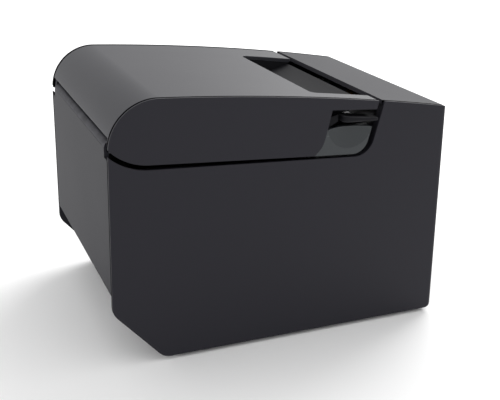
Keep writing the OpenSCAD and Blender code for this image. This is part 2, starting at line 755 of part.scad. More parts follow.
module rocker_housing() {
    y0 = front_face_y(rocker_z) + 0.2;
    color("#1b1b1d") difference() {
        box(rocker_x - rocker_w / 2 - 2, rocker_x + rocker_w / 2 + 2, y0, y0 + 14,
            rocker_z - rocker_h / 2 - 2, rocker_z + rocker_h / 2 + 2);
        box(rocker_x - rocker_w / 2 - side_gap, rocker_x + rocker_w / 2 + side_gap, y0 - 1, y0 + 10,
            rocker_z - rocker_h / 2 - side_gap, rocker_z + rocker_h / 2 + side_gap);
        bar_x(rocker_x - rocker_w / 2 - 1.5, rocker_x + rocker_w / 2 + 1.5, rocker_c, 3 + 2 * fit);
    }
}

module buzzer() {
    color("#141415") difference() {
        bar_z(board_x1 - 13, board_front + 14, board_z + board_t, board_z + board_t + 8, 12);
        bar_z(board_x1 - 13, board_front + 14, board_z + board_t + 7, board_z + board_t + 9, 2);
    }
}

module lid_switch() {
    color("#141415") {
        box(in_x - 7, in_x, frame_rear - 15, frame_rear + 3, frame_top - 31, frame_top - 21);
        box(in_x - 5, in_x - 3, frame_rear - 5, frame_rear - 1, frame_top - 21, frame_top - 18.5);
    }
}

module sensor_block() {
    color("#303236") difference() {
        box(bay_left - bay_wall - 9, bay_left - bay_wall,
            sensor_y - 4.5, sensor_y + 25, sensor_z - 7, sensor_z + 7);
        box(bay_left - bay_wall - 7.7, bay_left, sensor_y - 3, sensor_y + 23.5,
            sensor_z - 3.5, sensor_z + 3.5);
        bar_z(sensor_x, sensor_y, sensor_z - 6, sensor_z + 6, 2 + 2 * fit);
    }
}

// ---- Lid ----
module skin_profile() {
    polygon(concat(lid_back(seam_top_y(0), skin_low, 0),
        reversed(lid_back(seam_top_y(0, wall), skin_low, wall))));
}

module lid_skin() {
    color("#515359") difference() {
        along_x(-lap_x, lap_x) skin_profile();
        translate([0, 0, body_h - 25]) linear_extrude(40) polygon(rounded([
            [notch_left, notch_rear, 4], [notch_right, notch_rear, 4],
            [notch_right, front_y, 0], [notch_left, front_y, 0]]));
    }
}

module cheek_plates() {
    along_x(lap_x, half_w) cheek_outline();
    along_x(in_x, lap_x) difference() {
        cheek_outline();
        skin_profile();
    }
    // Hinge lobe, with a blind seat for the hinge pin
    along_x(lobe_x, in_x) intersection() {
        cheek_outline(wall);
        translate([rear_y - 12, hinge[1] - 12]) square([20, 22]);
    }
}

module lid_cheek_left() {
    color("#3d3f45") difference() {
        union() {
            mirror([1, 0, 0]) cheek_plates();
            // Lip over the finger grip
            along_x(-in_x, notch_left - notch_wall) polygon(concat(
                crown_line(seam_top_y(0, wall), scoop_rear_y, wall),
                [[scoop_rear_y, lip_z + 1.5], [front_line_y(lip_z), lip_z]]));
            along_x(-half_w, -in_x) polygon([[scoop_rear_y - 1, lip_z + 1.5], [front_line_y(lip_z), lip_z],
                [front_line_y(lip_z + 2), lip_z + 2], [scoop_rear_y - 1, lip_z + 3]]);
        }
        along_x(-half_w - 1, -in_x + 0.01) polygon([
            [scoop_rear_y - 1.5, lip_z + 1.5], [scoop_rear_y - 0.3, lip_z - 4.5],
            [scoop_rear_y + 1.4, lip_z - 12.8], [scoop_rear_y + 3.3, lip_z - 18.5],
            [scoop_rear_y + 10, lip_z - 26],
            [front_y + 30, lip_z - 30], [front_y + 40, lip_z]]);
        bar_x(-half_w + 1, -lobe_x + 1, hinge, hinge_pin_d);
    }
}

module lid_cheek_right() {
    color("#3d3f45") difference() {
        union() {
            cheek_plates();
            // Closing wall along the front seam
            along_x(gear_x + gear_w + 2, in_x) intersection() {
                cheek_outline(wall);
                polygon([[front_line_y(body_h), body_h], [front_line_y(body_h) + 3, body_h],
                    [front_line_y(low_z) + 3, low_z], [front_line_y(low_z), low_z]]);
            }
        }
        bar_x(lobe_x - 1, half_w - 1, hinge, hinge_pin_d);
    }
}

// Finger recess in front of the left cheek: a block dished by a slanting cylinder
module grip_scoop() {
    color("#42454a") difference() {
        along_x(-half_w, scoop_in_x) intersection() {
            cheek_outline();
            polygon([[scoop_rear_y + 1.4, lip_z - 12.8], [scoop_rear_y + 3.3, lip_z - 18.5],
                [scoop_rear_y + 10, lip_z - 26], [front_y + 30, lip_z - 40], [front_y + 30, lip_z - 9.5],
                [scoop_rear_y - 10, lip_z - 9.5]]);
        }
        translate([-half_w - 22, scoop_rear_y - 21, lip_z - 8]) rotate([26, 0, 0])
            cylinder(h = 80, r = 29, center = true);
    }
}

module lid_liner() {
    color("#2f3034") {
        along_x(-in_x, in_x) polygon(concat(
            crown_line(notch_rear + notch_wall, rear_c[0], liner_in),
            arc(rear_c, rear_r - liner_in, 84, 40, 6),
            reversed(arc(rear_c, rear_r - liner_in - bay_wall, 84, 40, 6)),
            reversed(crown_line(notch_rear + notch_wall, rear_c[0], liner_in + bay_wall))));
        for (k = [-2:2]) along_x(k * rib_step - 0.8, k * rib_step + 0.8) polygon(concat(
            crown_line(notch_rear + notch_wall, rear_c[0] - 6, wall),
            reversed(crown_line(notch_rear + notch_wall, rear_c[0] - 6, liner_in))));
    }
}

module exit_guide() {
    color("#404044") difference() {
        union() {
            along_x(notch_left, notch_right)
                polygon(concat(guide_line(notch_rear, guide_front[0]),
                    reversed(guide_line(notch_rear, guide_front[0], guide_t))));
            for (x = [notch_left - notch_wall, notch_right]) along_x(x, x + notch_wall) polygon(concat(
                crown_line(seam_top_y(0, wall) + 0.4, notch_rear + notch_wall, wall),
                [[notch_rear + notch_wall, latch_c[1] - 5], [latch_c[0] - 6, latch_c[1] - 5],
                 [latch_c[0] - 6, guide_rear_z - 2], [guide_front[0] + 0.6, guide_front[1] - 2]]));
            along_x(notch_left, notch_right) polygon([
                [notch_rear, guide_rear_z - guide_t], [notch_rear + notch_wall, guide_rear_z - guide_t],
                [notch_rear + notch_wall, crown_z(notch_rear + notch_wall, wall)],
                [notch_rear, crown_z(notch_rear, wall)]]);
            for (x = [notch_left - notch_wall, notch_right]) bar_x(x, x + notch_wall, latch_c, latch_d + 4);
        }
        bar_x(notch_left - 5, notch_right + 5, latch_c, latch_d + 2 * fit);
    }
}

// Beam under the exit guide that carries the platen in two arms
module platen_holder() {
    x0 = paper_x - roll_w / 2 - 1.5 - arm_t;
    x1 = paper_x + roll_w / 2 + 1.5;
    color("#2b2c2f") difference() {
        union() {
            along_x(x0, x1 + arm_t) polygon([
                [platen_c[0] - platen_d / 2 + 0.4, frame_top], [holder_rear, frame_top],
                [holder_rear, blade_z + blade_gap], [platen_c[0] - platen_d / 2 + 0.4, blade_z + blade_gap]]);
            along_x(x0, x1 + arm_t) polygon([
                [holder_rear - 4, frame_top], [holder_rear, frame_top],
                [holder_rear, guide_z(holder_rear) - guide_t],
                [holder_rear - 4, guide_z(holder_rear - 4) - guide_t]]);
            for (x = [x0, x1]) along_x(x, x + arm_t) difference() {
                union() {
                    circle_at(platen_c, bearing_d / 2 + 2);
                    polygon([platen_c + [-bearing_d / 2 - 1, 0], platen_c + [-bearing_d / 2 - 1, 9.5],
                        [holder_rear, platen_c[1] + 9.5], platen_c + [bearing_d / 2 + 1, -2]]);
                }
                circle_at(platen_c, bearing_d / 2);
            }
        }
        for (x = blade_screw_x) bar_z(x, fixed_edge_y + 12, blade_z - 3.2, blade_z + 2, 2.5);
    }
}

module platen_bearings() {
    x0 = paper_x - roll_w / 2 - 1.5 - arm_t;
    x1 = paper_x + roll_w / 2 + 1.5;
    color("#d8d2c0") for (x = [x0, x1]) difference() {
        bar_x(x, x + arm_t, platen_c, bearing_d);
        bar_x(x - 1, x + arm_t + 1, platen_c, shaft_d + 2 * fit);
    }
}

module fixed_blade() {
    color("#c9ccd0") difference() {
        box(paper_x - blade_half, paper_x + blade_half, fixed_edge_y, holder_rear - 4,
            blade_z + blade_gap, blade_z + blade_gap + 1);
        for (x = blade_screw_x) bar_z(x, fixed_edge_y + 12, blade_z - 1, blade_z + 3, 2.5);
    }
}

module lid_screws() {
    color("silver") for (x = blade_screw_x)
        translate([x, fixed_edge_y + 12, blade_z + blade_gap + 1 - 4]) screw(2.5, 4);
}

module hinge_pins() {
    color("silver") {
        bar_x(-half_w + 1, -knuckle_half + hinge_pin_in, hinge, hinge_pin_d);
        bar_x(knuckle_half - hinge_pin_in, half_w - 1, hinge, hinge_pin_d);
    }
}

// ---- Lid latch ----
module latch_shaft() {
    color("silver") bar_x(lever_x0, hook_right + hook_t, latch_c, latch_d);
}

module latch_hooks() {
    color("#8f9296") for (x = [hook_left - hook_t, hook_right]) along_x(x, x + hook_t) difference() {
        union() {
            circle_at(latch_c, latch_d / 2 + 2);
            polygon([latch_c + [-4, 0], latch_c + [2, -3.4], stud_c + [-2.2, 3], stud_c + [-2.2, -2.2],
                stud_c + [-stud_d / 2 - side_gap, -2.6], stud_c + [-stud_d / 2 - side_gap, -4.6],
                stud_c + [-5.6, -4.6]]);
        }
        circle_at(latch_c, latch_d / 2);
    }
}

module open_lever() {
    color("#2f3135") {
        along_x(lever_x0, lever_x1) difference() {
            union() {
                circle_at(latch_c, latch_d / 2 + 2);
                polygon([latch_c + [0, 4], latch_c + [-3, -2.5], [scoop_rear_y - 8, lever_z - 1.9],
                    [scoop_rear_y - 8, lever_z + 1.9]]);
            }
            circle_at(latch_c, latch_d / 2);
        }
        along_x(-half_w + 0.5, lever_x1) polygon(rounded([
            [scoop_rear_y - 7, lever_z - 1.9, 1.5], [scoop_rear_y - 7, lever_z + 2.1, 1.5],
            [lever_front, lever_z - 0.2, 0.6], [lever_front, lever_z - 2.2, 0.6]]));
    }
}

// ---- Platen and feed gears ----
module platen_rubber() {
    color("#202124") difference() {
        bar_x(paper_x - roll_w / 2, paper_x + roll_w / 2, platen_c, platen_d);
        bar_x(paper_x - roll_w / 2 - 1, paper_x + roll_w / 2 + 1, platen_c, shaft_d);
    }
}

module platen_shaft() {
    color("silver") bar_x(plate_left + 0.6, gear_x + gear_w + 0.8, platen_c, shaft_d);
}

module platen_gear() {
    color("#dcdcd6") gear_x_axis(platen_teeth, gear_x, gear_w, platen_c, platen_phase, shaft_d);
}

module idler_gear() {
    color("#dcdcd6") gear_x_axis(idler_teeth, gear_x, gear_w, idler_c, idler_phase, axle_d + 2 * fit);
}

module feed_pinion() {
    color("#b08d4a") {
        gear_x_axis(pinion_teeth, gear_x, gear_w, pinion_c, pinion_phase, motor_shaft_d);
        bar_x(plate_right - motor_l + 4.5, gear_x + gear_w, pinion_c, motor_shaft_d);
    }
}

// ---- Print head ----
module head_plate() {
    color("#d8d6cf") along_x(paper_x - blade_half, paper_x + blade_half) polygon([
        head_at(0, -9), head_at(plate_head_t, -9), head_at(plate_head_t, 6), head_at(0, 6)]);
}

module head_sink() {
    color("#9ea2a7") {
        along_x(paper_x - blade_half, paper_x + blade_half) polygon([
            head_at(plate_head_t, -18), head_at(plate_head_t + 2.4, -18),
            head_at(plate_head_t + 2.4, 6), head_at(plate_head_t, 6)]);
        for (i = [0:10]) {
            x = paper_x - blade_half + i * (2 * blade_half - 2) / 10;
            along_x(x, x + 2) polygon([head_at(plate_head_t + 2, -17), head_at(plate_head_t + sink_t, -17),
                head_at(plate_head_t + sink_t, 4), head_at(plate_head_t + 2, 6)]);
        }
        for (x = [paper_x - blade_half, paper_x + blade_half - 3]) along_x(x, x + 3) difference() {
            union() {
                circle_at(head_pivot, pivot_d / 2 + 2);
                polygon([head_at(plate_head_t + 0.5, -16), head_at(plate_head_t + sink_t, -16),
                    head_pivot + [-3, 1], head_pivot + [3, 1]]);
            }
            circle_at(head_pivot, pivot_d / 2);
        }
    }
}

module head_pivot_shaft() {
    color("silver") bar_x(plate_left - plate_t - 1, plate_right + plate_t + 1, head_pivot, pivot_d);
}

// ---- Cutter ----
module moving_blade() {
    x0 = paper_x - blade_half;
    x1 = paper_x + blade_half;
    color("#c9ccd0") {
        translate([0, 0, blade_z - blade_t]) linear_extrude(blade_t) polygon([
            [x0, blade_back_y], [x1, blade_back_y], [x1, blade_edge_y - blade_slant], [x0, blade_edge_y]]);
        translate([0, 0, blade_z - rack_t]) linear_extrude(rack_t) union() {
            translate([rack_x - 10, rack_y]) square([10 - 1.2 * gear_m, blade_back_y - rack_y]);
            for (k = [-1:2]) translate([rack_x, cutter_c[1] + k * PI * gear_m]) polygon([
                [-1.3 * gear_m, -1.16 * gear_m], [0.8 * gear_m, -0.38 * gear_m],
                [0.8 * gear_m, 0.38 * gear_m], [-1.3 * gear_m, 1.16 * gear_m]]);
        }
        translate([0, 0, blade_z - blade_t]) linear_extrude(blade_t)
            translate([rack_x - 10, blade_back_y - 1]) square([10 - 1.2 * gear_m, 3]);
    }
}

module cutter_pinion() {
    color("#b08d4a") {
        translate([cutter_c[0], cutter_c[1], frame_top + 0.3]) linear_extrude(blade_z - frame_top - 0.3)
            rotate(180 + 180 / pinion_teeth) polygon(gear_points(pinion_teeth));
        bar_z(cutter_c[0], cutter_c[1], frame_top - 9.5, blade_z, cutter_shaft_d);
    }
}

// ---- Controls and sensor lever ----
module power_rocker() {
    color("#151517") {
        along_x(rocker_x - rocker_w / 2, rocker_x + rocker_w / 2)
            translate(rocker_c) rotate(-rocker_tilt) polygon([
                [-4.6, rocker_h / 2 - 0.8], [-3.2, 0], [-4.6, -rocker_h / 2 + 0.8],
                [1.5, -rocker_h / 2 + 2.5], [3, 0], [1.5, rocker_h / 2 - 2.5]]);
        bar_x(rocker_x - rocker_w / 2 - 1.2, rocker_x + rocker_w / 2 + 1.2, rocker_c, 3);
    }
}

module feed_button() {
    y = front_face_y(button_z, wall);
    color("#5a5c60") {
        bar_y(button_x, button_z, front_face_y(button_z) - 1, y + 0.8, button_d);
        bar_y(button_x, button_z, y + 0.6, y + 1.4, button_d + 2);
    }
}

module near_end_lever() {
    color("#e0ddd2") {
        bar_z(sensor_x, sensor_y, sensor_z - 5.5, sensor_z + 5.5, 2);
        bar_z(sensor_x, sensor_y, sensor_z - 3, sensor_z + 3, 4);
        translate([0, 0, sensor_z - 3]) linear_extrude(6) polygon([
            [sensor_x - 1, sensor_y], [sensor_x - 1, sensor_y + 21], [sensor_x + 1.2, sensor_y + 21],
            [bay_left + 1.3, sensor_y + 15], [bay_left + 1.3, sensor_y + 11], [sensor_x + 1.2, sensor_y + 5],
            [sensor_x + 1.2, sensor_y]]);
    }
}

base_tray();
side_panel_left();
side_panel_right();
rear_panel();
front_cover();
roll_cradle();
rubber_feet();
base_screws();
frame_plate_left();
frame_plate_right();
frame_beam();
frame_screws();
lock_studs();
feed_motor();
idler_axle();
head_springs();
cutter_bed();
cutter_motor();
main_board();
board_chips();
board_capacitors();
connector_plate();
power_inlet();
usb_port();
network_port();
drawer_port();
bay_screws();
control_board();
light_pipes();
rocker_housing();
buzzer();
lid_switch();
sensor_block();
lid_skin();
lid_cheek_left();
lid_cheek_right();
grip_scoop();
lid_liner();
exit_guide();
platen_holder();
platen_bearings();
fixed_blade();
hinge_pins();
lid_screws();
latch_shaft();
latch_hooks();
open_lever();
platen_rubber();
platen_shaft();
platen_gear();
idler_gear();
feed_pinion();
head_plate();
head_sink();
head_pivot_shaft();
moving_blade();
cutter_pinion();
power_rocker();
feed_button();
near_end_lever();
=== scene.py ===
"""Looks of a desktop receipt printer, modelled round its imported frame.

Sizes are in millimetres unless a name ends in _m. The scene itself is in metres.
"""

import json
import logging
import math
from collections.abc import Callable, Iterator, Sequence
from contextlib import contextmanager
from dataclasses import dataclass
from enum import Enum

import bmesh
import bpy
from mathutils import Matrix, Vector


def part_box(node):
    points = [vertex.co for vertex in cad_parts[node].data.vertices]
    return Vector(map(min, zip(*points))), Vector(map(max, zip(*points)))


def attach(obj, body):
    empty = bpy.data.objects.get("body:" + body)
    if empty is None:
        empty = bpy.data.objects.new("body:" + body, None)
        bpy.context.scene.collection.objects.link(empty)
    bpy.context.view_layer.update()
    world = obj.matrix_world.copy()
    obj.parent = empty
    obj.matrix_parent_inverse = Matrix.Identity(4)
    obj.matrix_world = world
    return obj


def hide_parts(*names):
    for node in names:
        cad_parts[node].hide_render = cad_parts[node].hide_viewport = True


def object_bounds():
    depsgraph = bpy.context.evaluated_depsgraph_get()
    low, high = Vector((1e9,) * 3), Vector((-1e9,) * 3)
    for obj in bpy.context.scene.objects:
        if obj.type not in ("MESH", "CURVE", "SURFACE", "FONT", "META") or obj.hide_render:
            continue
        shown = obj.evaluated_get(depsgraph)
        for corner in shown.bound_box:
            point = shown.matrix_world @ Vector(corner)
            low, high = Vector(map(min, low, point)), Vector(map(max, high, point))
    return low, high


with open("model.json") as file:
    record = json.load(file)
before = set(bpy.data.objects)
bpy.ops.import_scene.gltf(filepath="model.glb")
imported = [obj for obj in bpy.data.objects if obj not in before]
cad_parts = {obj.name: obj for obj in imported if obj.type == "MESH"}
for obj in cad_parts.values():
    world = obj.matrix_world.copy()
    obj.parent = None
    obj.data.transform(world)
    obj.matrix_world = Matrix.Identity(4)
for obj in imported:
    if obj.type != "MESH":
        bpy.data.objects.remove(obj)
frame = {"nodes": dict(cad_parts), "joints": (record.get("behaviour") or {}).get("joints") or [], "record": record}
CAD_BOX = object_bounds()

MM = 0.001
MERGE = 0.002  # Points of an outline closer than this become one
WELD = 0.00005  # The same for the points of a finished mesh
BITE = 0.6  # How far pieces reach into each other before they are welded
EDGE = "rounded_edge"
log = logging.getLogger("receipt_printer")

Point2 = tuple[float, float]
Point3 = tuple[float, float, float]


class Plane(Enum):
    """The plane an outline is drawn in, named after the axis that it is extruded along."""

    SIDE = 0
    FRONT = 1
    TOP = 2

    def place(self, a: float, b: float, level: float) -> Vector:
        """Turns a point of the outline into a point in space, in metres.

        Args:
            a: First coordinate in the plane.
            b: Second coordinate in the plane.
            level: Place along the extrusion axis.

        Returns:
            The point in metres.
        """
        spots = {
            Plane.SIDE: (level, a, b),
            Plane.FRONT: (a, level, b),
            Plane.TOP: (a, b, level),
        }
        return Vector(spots[self]) * MM

    def axis(self) -> Vector:
        """The axis that turns the first direction of the plane towards the second."""
        return Vector(((1, 0, 0), (0, -1, 0), (0, 0, 1))[self.value])


class Element(Enum):
    """What a selection in edit mode is made of."""

    VERTEX = "VERT"
    EDGE = "EDGE"
    FACE = "FACE"


class Hand(Enum):
    """The user's left or right hand side of the printer."""

    LEFT = -1
    RIGHT = 1

    @property
    def word(self) -> str:
        """The side as a word for piece names."""
        return self.name.lower()


def clear_bench() -> None:
    """Leaves edit mode and deselects every object, so that a new primitive stands alone."""
    if bpy.context.object and bpy.context.object.mode != "OBJECT":
        bpy.ops.object.mode_set(mode="OBJECT")
    bpy.ops.object.select_all(action="DESELECT")


class Workpiece:
    """One mesh on the bench, shaped with edit-mode operators and applied modifiers."""

    def __init__(self, name: str) -> None:
        """Takes the object that an operator has just added.

        Args:
            name: Name of the object and its mesh.
        """
        self.body: bpy.types.Object = bpy.context.object
        self.body.name = name
        self.body.data.name = name
        bpy.ops.object.transform_apply(location=True, rotation=True, scale=True)

    @classmethod
    def block(cls, name: str, low: Point3, high: Point3) -> "Workpiece":
        """Adds a box between two corners.

        Args:
            name: Name of the piece.
            low: Lowest corner.
            high: Highest corner.

        Returns:
            The new piece.
        """
        clear_bench()
        size = [(h - l) * MM for l, h in zip(low, high)]
        middle = [(h + l) / 2 * MM for l, h in zip(low, high)]
        bpy.ops.mesh.primitive_cube_add(size=1, location=middle, scale=size)
        return cls(name)

    @classmethod
    def rod(
        cls, name: str, plane: Plane, middle: Point3, radius: float, length: float, sides: int = 48
    ) -> "Workpiece":
        """Adds a round bar along the axis of a plane.

        Args:
            name: Name of the piece.
            plane: Plane that the bar stands on.
            middle: Middle of the bar.
            radius: Radius of the bar.
            length: Length of the bar.
            sides: Number of flats round the bar.

        Returns:
            The new piece.
        """
        clear_bench()
        turn = {
            Plane.SIDE: (0, math.pi / 2, 0),
            Plane.FRONT: (math.pi / 2, 0, 0),
            Plane.TOP: (0, 0, 0),
        }[plane]
        bpy.ops.mesh.primitive_cylinder_add(
            vertices=sides,
            radius=radius * MM,
            depth=length * MM,
            location=Vector(middle) * MM,
            rotation=turn,
        )
        return cls(name)

    def hold(self) -> None:
        """Makes this piece the only one that is selected, and active."""
        clear_bench()
        self.body.select_set(True)
        bpy.context.view_layer.objects.active = self.body

    @contextmanager
    def editing(self) -> Iterator[None]:
        """Keeps this piece alone in edit mode for the length of a block."""
        self.hold()
        bpy.ops.object.mode_set(mode="EDIT")
        yield
        bpy.ops.object.mode_set(mode="OBJECT")

    def pick(self, element: Element, test: Callable[[Vector, Vector], bool]) -> int:
        """Selects the elements whose middle and normal pass a test, while in edit mode.

        Args:
            element: Kind of element.
            test: Takes the middle in millimetres and the normal or edge direction.

        Returns:
            How many elements were selected.
        """
        bpy.ops.mesh.select_mode(type=element.value)
        bpy.ops.mesh.select_all(action="DESELECT")
        mesh = bmesh.from_edit_mesh(self.body.data)
        groups = {Element.VERTEX: mesh.verts, Element.EDGE: mesh.edges, Element.FACE: mesh.faces}
        count = 0
        for item in groups[element]:
            if element is Element.VERTEX:
                middle, way = item.co, item.normal
            elif element is Element.EDGE:
                ends = [v.co for v in item.verts]
                middle, way = (ends[0] + ends[1]) / 2, (ends[1] - ends[0]).normalized()
            else:
                middle, way = item.calc_center_median(), item.normal
            if test(middle / MM, way):
                item.select_set(True)
                count += 1
        mesh.select_flush_mode()
        bmesh.update_edit_mesh(self.body.data)
        return count

    def modify(self, kind: str, **settings: object) -> "Workpiece":
        """Adds a modifier and applies it.

        Args:
            kind: Type of the modifier.
            **settings: Properties of the modifier.

        Returns:
            This piece.
        """
        self.hold()
        modifier = self.body.modifiers.new(kind.title(), kind)
        for key, value in settings.items():
            setattr(modifier, key, value)
        bpy.ops.object.modifier_apply(modifier=modifier.name)
        return self

    def combine(self, operation: str, *tools: "Workpiece") -> "Workpiece":
        """Adds tools to this piece or takes them away, and removes the tools.

        Args:
            operation: UNION or DIFFERENCE.
            *tools: The other pieces.

        Returns:
            This piece.
        """
        for tool in tools:
            self.modify("BOOLEAN", operation=operation, solver="EXACT", object=tool.body)
            bpy.data.objects.remove(tool.body)
        return self

    def add(self, *parts: "Workpiece") -> "Workpiece":
        """Welds other pieces to this one."""
        return self.combine("UNION", *parts)

    def cut(self, *tools: "Workpiece") -> "Workpiece":
        """Cuts this piece with tools."""
        return self.combine("DIFFERENCE", *tools)

    def join(self, *parts: "Workpiece") -> "Workpiece":
        """Takes other closed pieces into this mesh as they are, each with its own skin."""
        self.hold()
        for part in parts:
            part.body.select_set(True)
        bpy.ops.object.join()
        return self

    def soften(self, width: float, segments: int = 3, angle: float = 32) -> "Workpiece":
        """Rounds every edge sharper than an angle.

        Args:
            width: Width of the rounding.
            segments: Facets across the rounding.
            angle: Smallest angle that is rounded, in degrees.

        Returns:
            This piece.
        """
        return self.modify(
            "BEVEL",
            width=width * MM,
            segments=segments,
            limit_method="ANGLE",
            angle_limit=math.radians(angle),
            use_clamp_overlap=True,
        )

    def soften_where(
        self, width: float, test: Callable[[Vector, Vector], bool], segments: int = 5
    ) -> "Workpiece":
        """Rounds only the edges that pass a test.

        Args:
            width: Width of the rounding.
            test: Takes an edge's middle in millimetres and its direction.
            segments: Facets across the rounding.

        Returns:
            This piece.
        """
        with self.editing():
            if self.pick(Element.EDGE, test):
                bpy.ops.mesh.bevel(offset=width * MM, segments=segments, affect="EDGES")
        return self

    def thicken(self, wall: float, outward: Vector) -> "Workpiece":
        """Gives a sheet its wall, inwards from the side that faces outward.

        Args:
            wall: Thickness of the wall.
            outward: Direction that most of the outer faces look in.

        Returns:
            This piece.
        """
        with self.editing():
            bpy.ops.mesh.select_all(action="SELECT")
            bpy.ops.mesh.normals_make_consistent(inside=False)
            mesh = bmesh.from_edit_mesh(self.body.data)
            facing = sum(f.normal.dot(outward) * f.calc_area() for f in mesh.faces)
            if facing < 0:
                bpy.ops.mesh.flip_normals()
        return self.modify(
            "SOLIDIFY", thickness=wall * MM, offset=-1, use_even_offset=True, use_rim=True
        )

    def copy(self, name: str, shift: Point3) -> "Workpiece":
        """Copies the piece with its own mesh and moves the copy.

        Args:
            name: Name of the copy.
            shift: How far the copy is moved.

        Returns:
            The copy.
        """
        self.hold()
        bpy.ops.object.duplicate_move(
            OBJECT_OT_duplicate={"linked": False},
            TRANSFORM_OT_translate={"value": Vector(shift) * MM},
        )
        return Workpiece(name)

    def repeat(self, shifts: Sequence[Point3]) -> list["Workpiece"]:
        """Copies this first piece of a row, whose name ends in 1, and numbers the copies.

        Args:
            shifts: How far each copy is moved.

        Returns:
            This piece and the copies.
        """
        stem = self.body.name.removesuffix("1")
        return [self] + [self.copy(f"{stem}{i}", shift) for i, shift in enumerate(shifts, 2)]

    def mark_edges(self, narrow: float = 0.3) -> None:
        """Marks the narrow faces of rounded edges, which the finishes paint paler: a painted highlight on the
        plastics.

        Args:
            narrow: Greatest mean width of such a face.
        """
        mesh = self.body.data
        marks = mesh.attributes.new(EDGE, "FLOAT", "FACE")
        for face in mesh.polygons:
            ends = [mesh.vertices[i].co for i in face.vertices]
            longest = max((a - b).length for a, b in zip(ends, ends[1:] + ends[:1]))
            marks.data[face.index].value = float(face.area < narrow * MM * longest)

    def finish(
        self,
        body: str,
        slot: str,
        material: bpy.types.Material,
        replaces: Sequence[str] = (),
        smooth: float = 30,
    ) -> bpy.types.Object:
        """Cleans the mesh, dresses it and hangs it on its body.

        Args:
            body: Body that the piece moves with.
            slot: Material slot of the record; not used.
            material: Finish of the piece.
            replaces: Nodes that the piece stands for.
            smooth: Largest angle that is shaded smooth, in degrees.

        Returns:
            The finished object.
        """
        with self.editing():
            bpy.ops.mesh.select_all(action="SELECT")
            bpy.ops.mesh.remove_doubles(threshold=WELD * MM)
            bpy.ops.mesh.normals_make_consistent(inside=False)
        self.hold()
        bpy.ops.object.transform_apply(location=True, rotation=True, scale=True)
        bpy.ops.object.shade_smooth_by_angle(angle=math.radians(smooth))
        self.modify("WEIGHTED_NORMAL", keep_sharp=True, weight=80)
        self.mark_edges()
        self.body.data.materials.clear()
        self.body.data.materials.append(material)
        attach(self.body, body)
        if replaces:
            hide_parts(*replaces)
        log.info("%s: %d faces on %s", self.body.name, len(self.body.data.polygons), body)
        return self.body


class Outline:
    """An outline drawn point by point with extrude and spin, then filled or swept."""

    def __init__(self, name: str, plane: Plane, level: float, start: Point2) -> None:
        """Puts down the first point.

        Args:
            name: Name of the piece that the outline becomes.
            plane: Plane of the outline.
            level: Place of the outline along the plane's axis.
            start: First point.
        """
        clear_bench()
        self.plane, self.level, self.at = plane, level, start
        bpy.ops.mesh.primitive_plane_add(size=MM, location=(0, 0, 0))
        self.piece = Workpiece(name)
        bpy.ops.object.mode_set(mode="EDIT")
        bpy.ops.mesh.select_mode(type="VERT")
        bpy.ops.mesh.select_all(action="SELECT")
        bpy.ops.mesh.merge(type="CENTER")
        bpy.ops.transform.translate(value=plane.place(*start, level))

    def line(self, *points: Point2) -> "Outline":
        """Draws straight on to one point after another."""
        for point in points:
            step = self.plane.place(*point, self.level) - self.plane.place(*self.at, self.level)
            if step.length > 1e-7:
                bpy.ops.mesh.extrude_region_move(TRANSFORM_OT_translate={"value": step})
            self.at = point
        return self

    def arc(self, centre: Point2, turn: float, step: float = 5) -> "Outline":
        """Draws an arc about a centre.

        Args:
            centre: Centre of the arc.
            turn: Angle in degrees, positive from the first axis towards the second.
            step: Largest turn of one facet, in degrees.

        Returns:
            This outline.
        """
        bpy.ops.mesh.spin(
            steps=max(2, math.ceil(abs(turn) / step)),
            angle=-math.radians(turn),
            center=self.plane.place(*centre, self.level),
            axis=self.plane.axis(),
        )
        self.at = turned(self.at, centre, turn)
        return self

    def corner(self, point: Point2, after: Point2, radius: float) -> "Outline":
        """Draws on to a corner and round it, up to where the next straight begins.

        Args:
            point: The corner.
            after: The point that follows the corner.
            radius: Radius of the rounding.

        Returns:
            This outline.
        """
        p, a, c = Vector(point), Vector(self.at), Vector(after)
        u, v = (a - p).normalized(), (c - p).normalized()
        half = u.angle(v) / 2
        start, end = p + u * radius / math.tan(half), p + v * radius / math.tan(half)
        middle = p + (u + v).normalized() * radius / math.sin(half)
        self.line(tuple(start))
        s, e = start - middle, end - middle
        turn = math.degrees(math.atan2(s.x * e.y - s.y * e.x, s.dot(e)))
        return self.arc(tuple(middle), turn, 12)

    def fill(self, length: float, lean: float = 0) -> Workpiece:
        """Closes the outline into a face and extrudes it.

        Args:
            length: How far it is extruded along the plane's axis.
            lean: How far the far end moves along the plane's second direction.

        Returns:
            The solid piece.
        """
        bpy.ops.mesh.select_all(action="SELECT")
        bpy.ops.mesh.remove_doubles(threshold=MERGE * MM)
        bpy.ops.mesh.select_all(action="SELECT")
        bpy.ops.mesh.edge_face_add()
        return self.sweep(length, lean)

    def sweep(self, length: float, lean: float = 0) -> Workpiece:
        """Extrudes what is drawn along the plane's axis and leaves edit mode.

        Args:
            length: How far it is extruded.
            lean: How far the far end moves along the plane's second direction.

        Returns:
            The piece, a sheet if the outline was left open.
        """
        bpy.ops.mesh.select_all(action="SELECT")
        step = self.plane.place(0, lean, length)
        bpy.ops.mesh.extrude_region_move(TRANSFORM_OT_translate={"value": step})
        bpy.ops.mesh.select_all(action="SELECT")
        bpy.ops.mesh.normals_make_consistent(inside=False)
        bpy.ops.object.mode_set(mode="OBJECT")
        return self.piece


def turned(point: Point2, centre: Point2, turn: float) -> Point2:
    """A point turned about a centre by an angle in degrees."""
    c, s = math.cos(math.radians(turn)), math.sin(math.radians(turn))
    x, y = point[0] - centre[0], point[1] - centre[1]
    return (centre[0] + x * c - y * s, centre[1] + x * s + y * c)


def around(centre: Point2, radius: float, angle: float) -> Point2:
    """The point at an angle in degrees on a circle."""
    a = math.radians(angle)
    return (centre[0] + radius * math.cos(a), centre[1] + radius * math.sin(a))


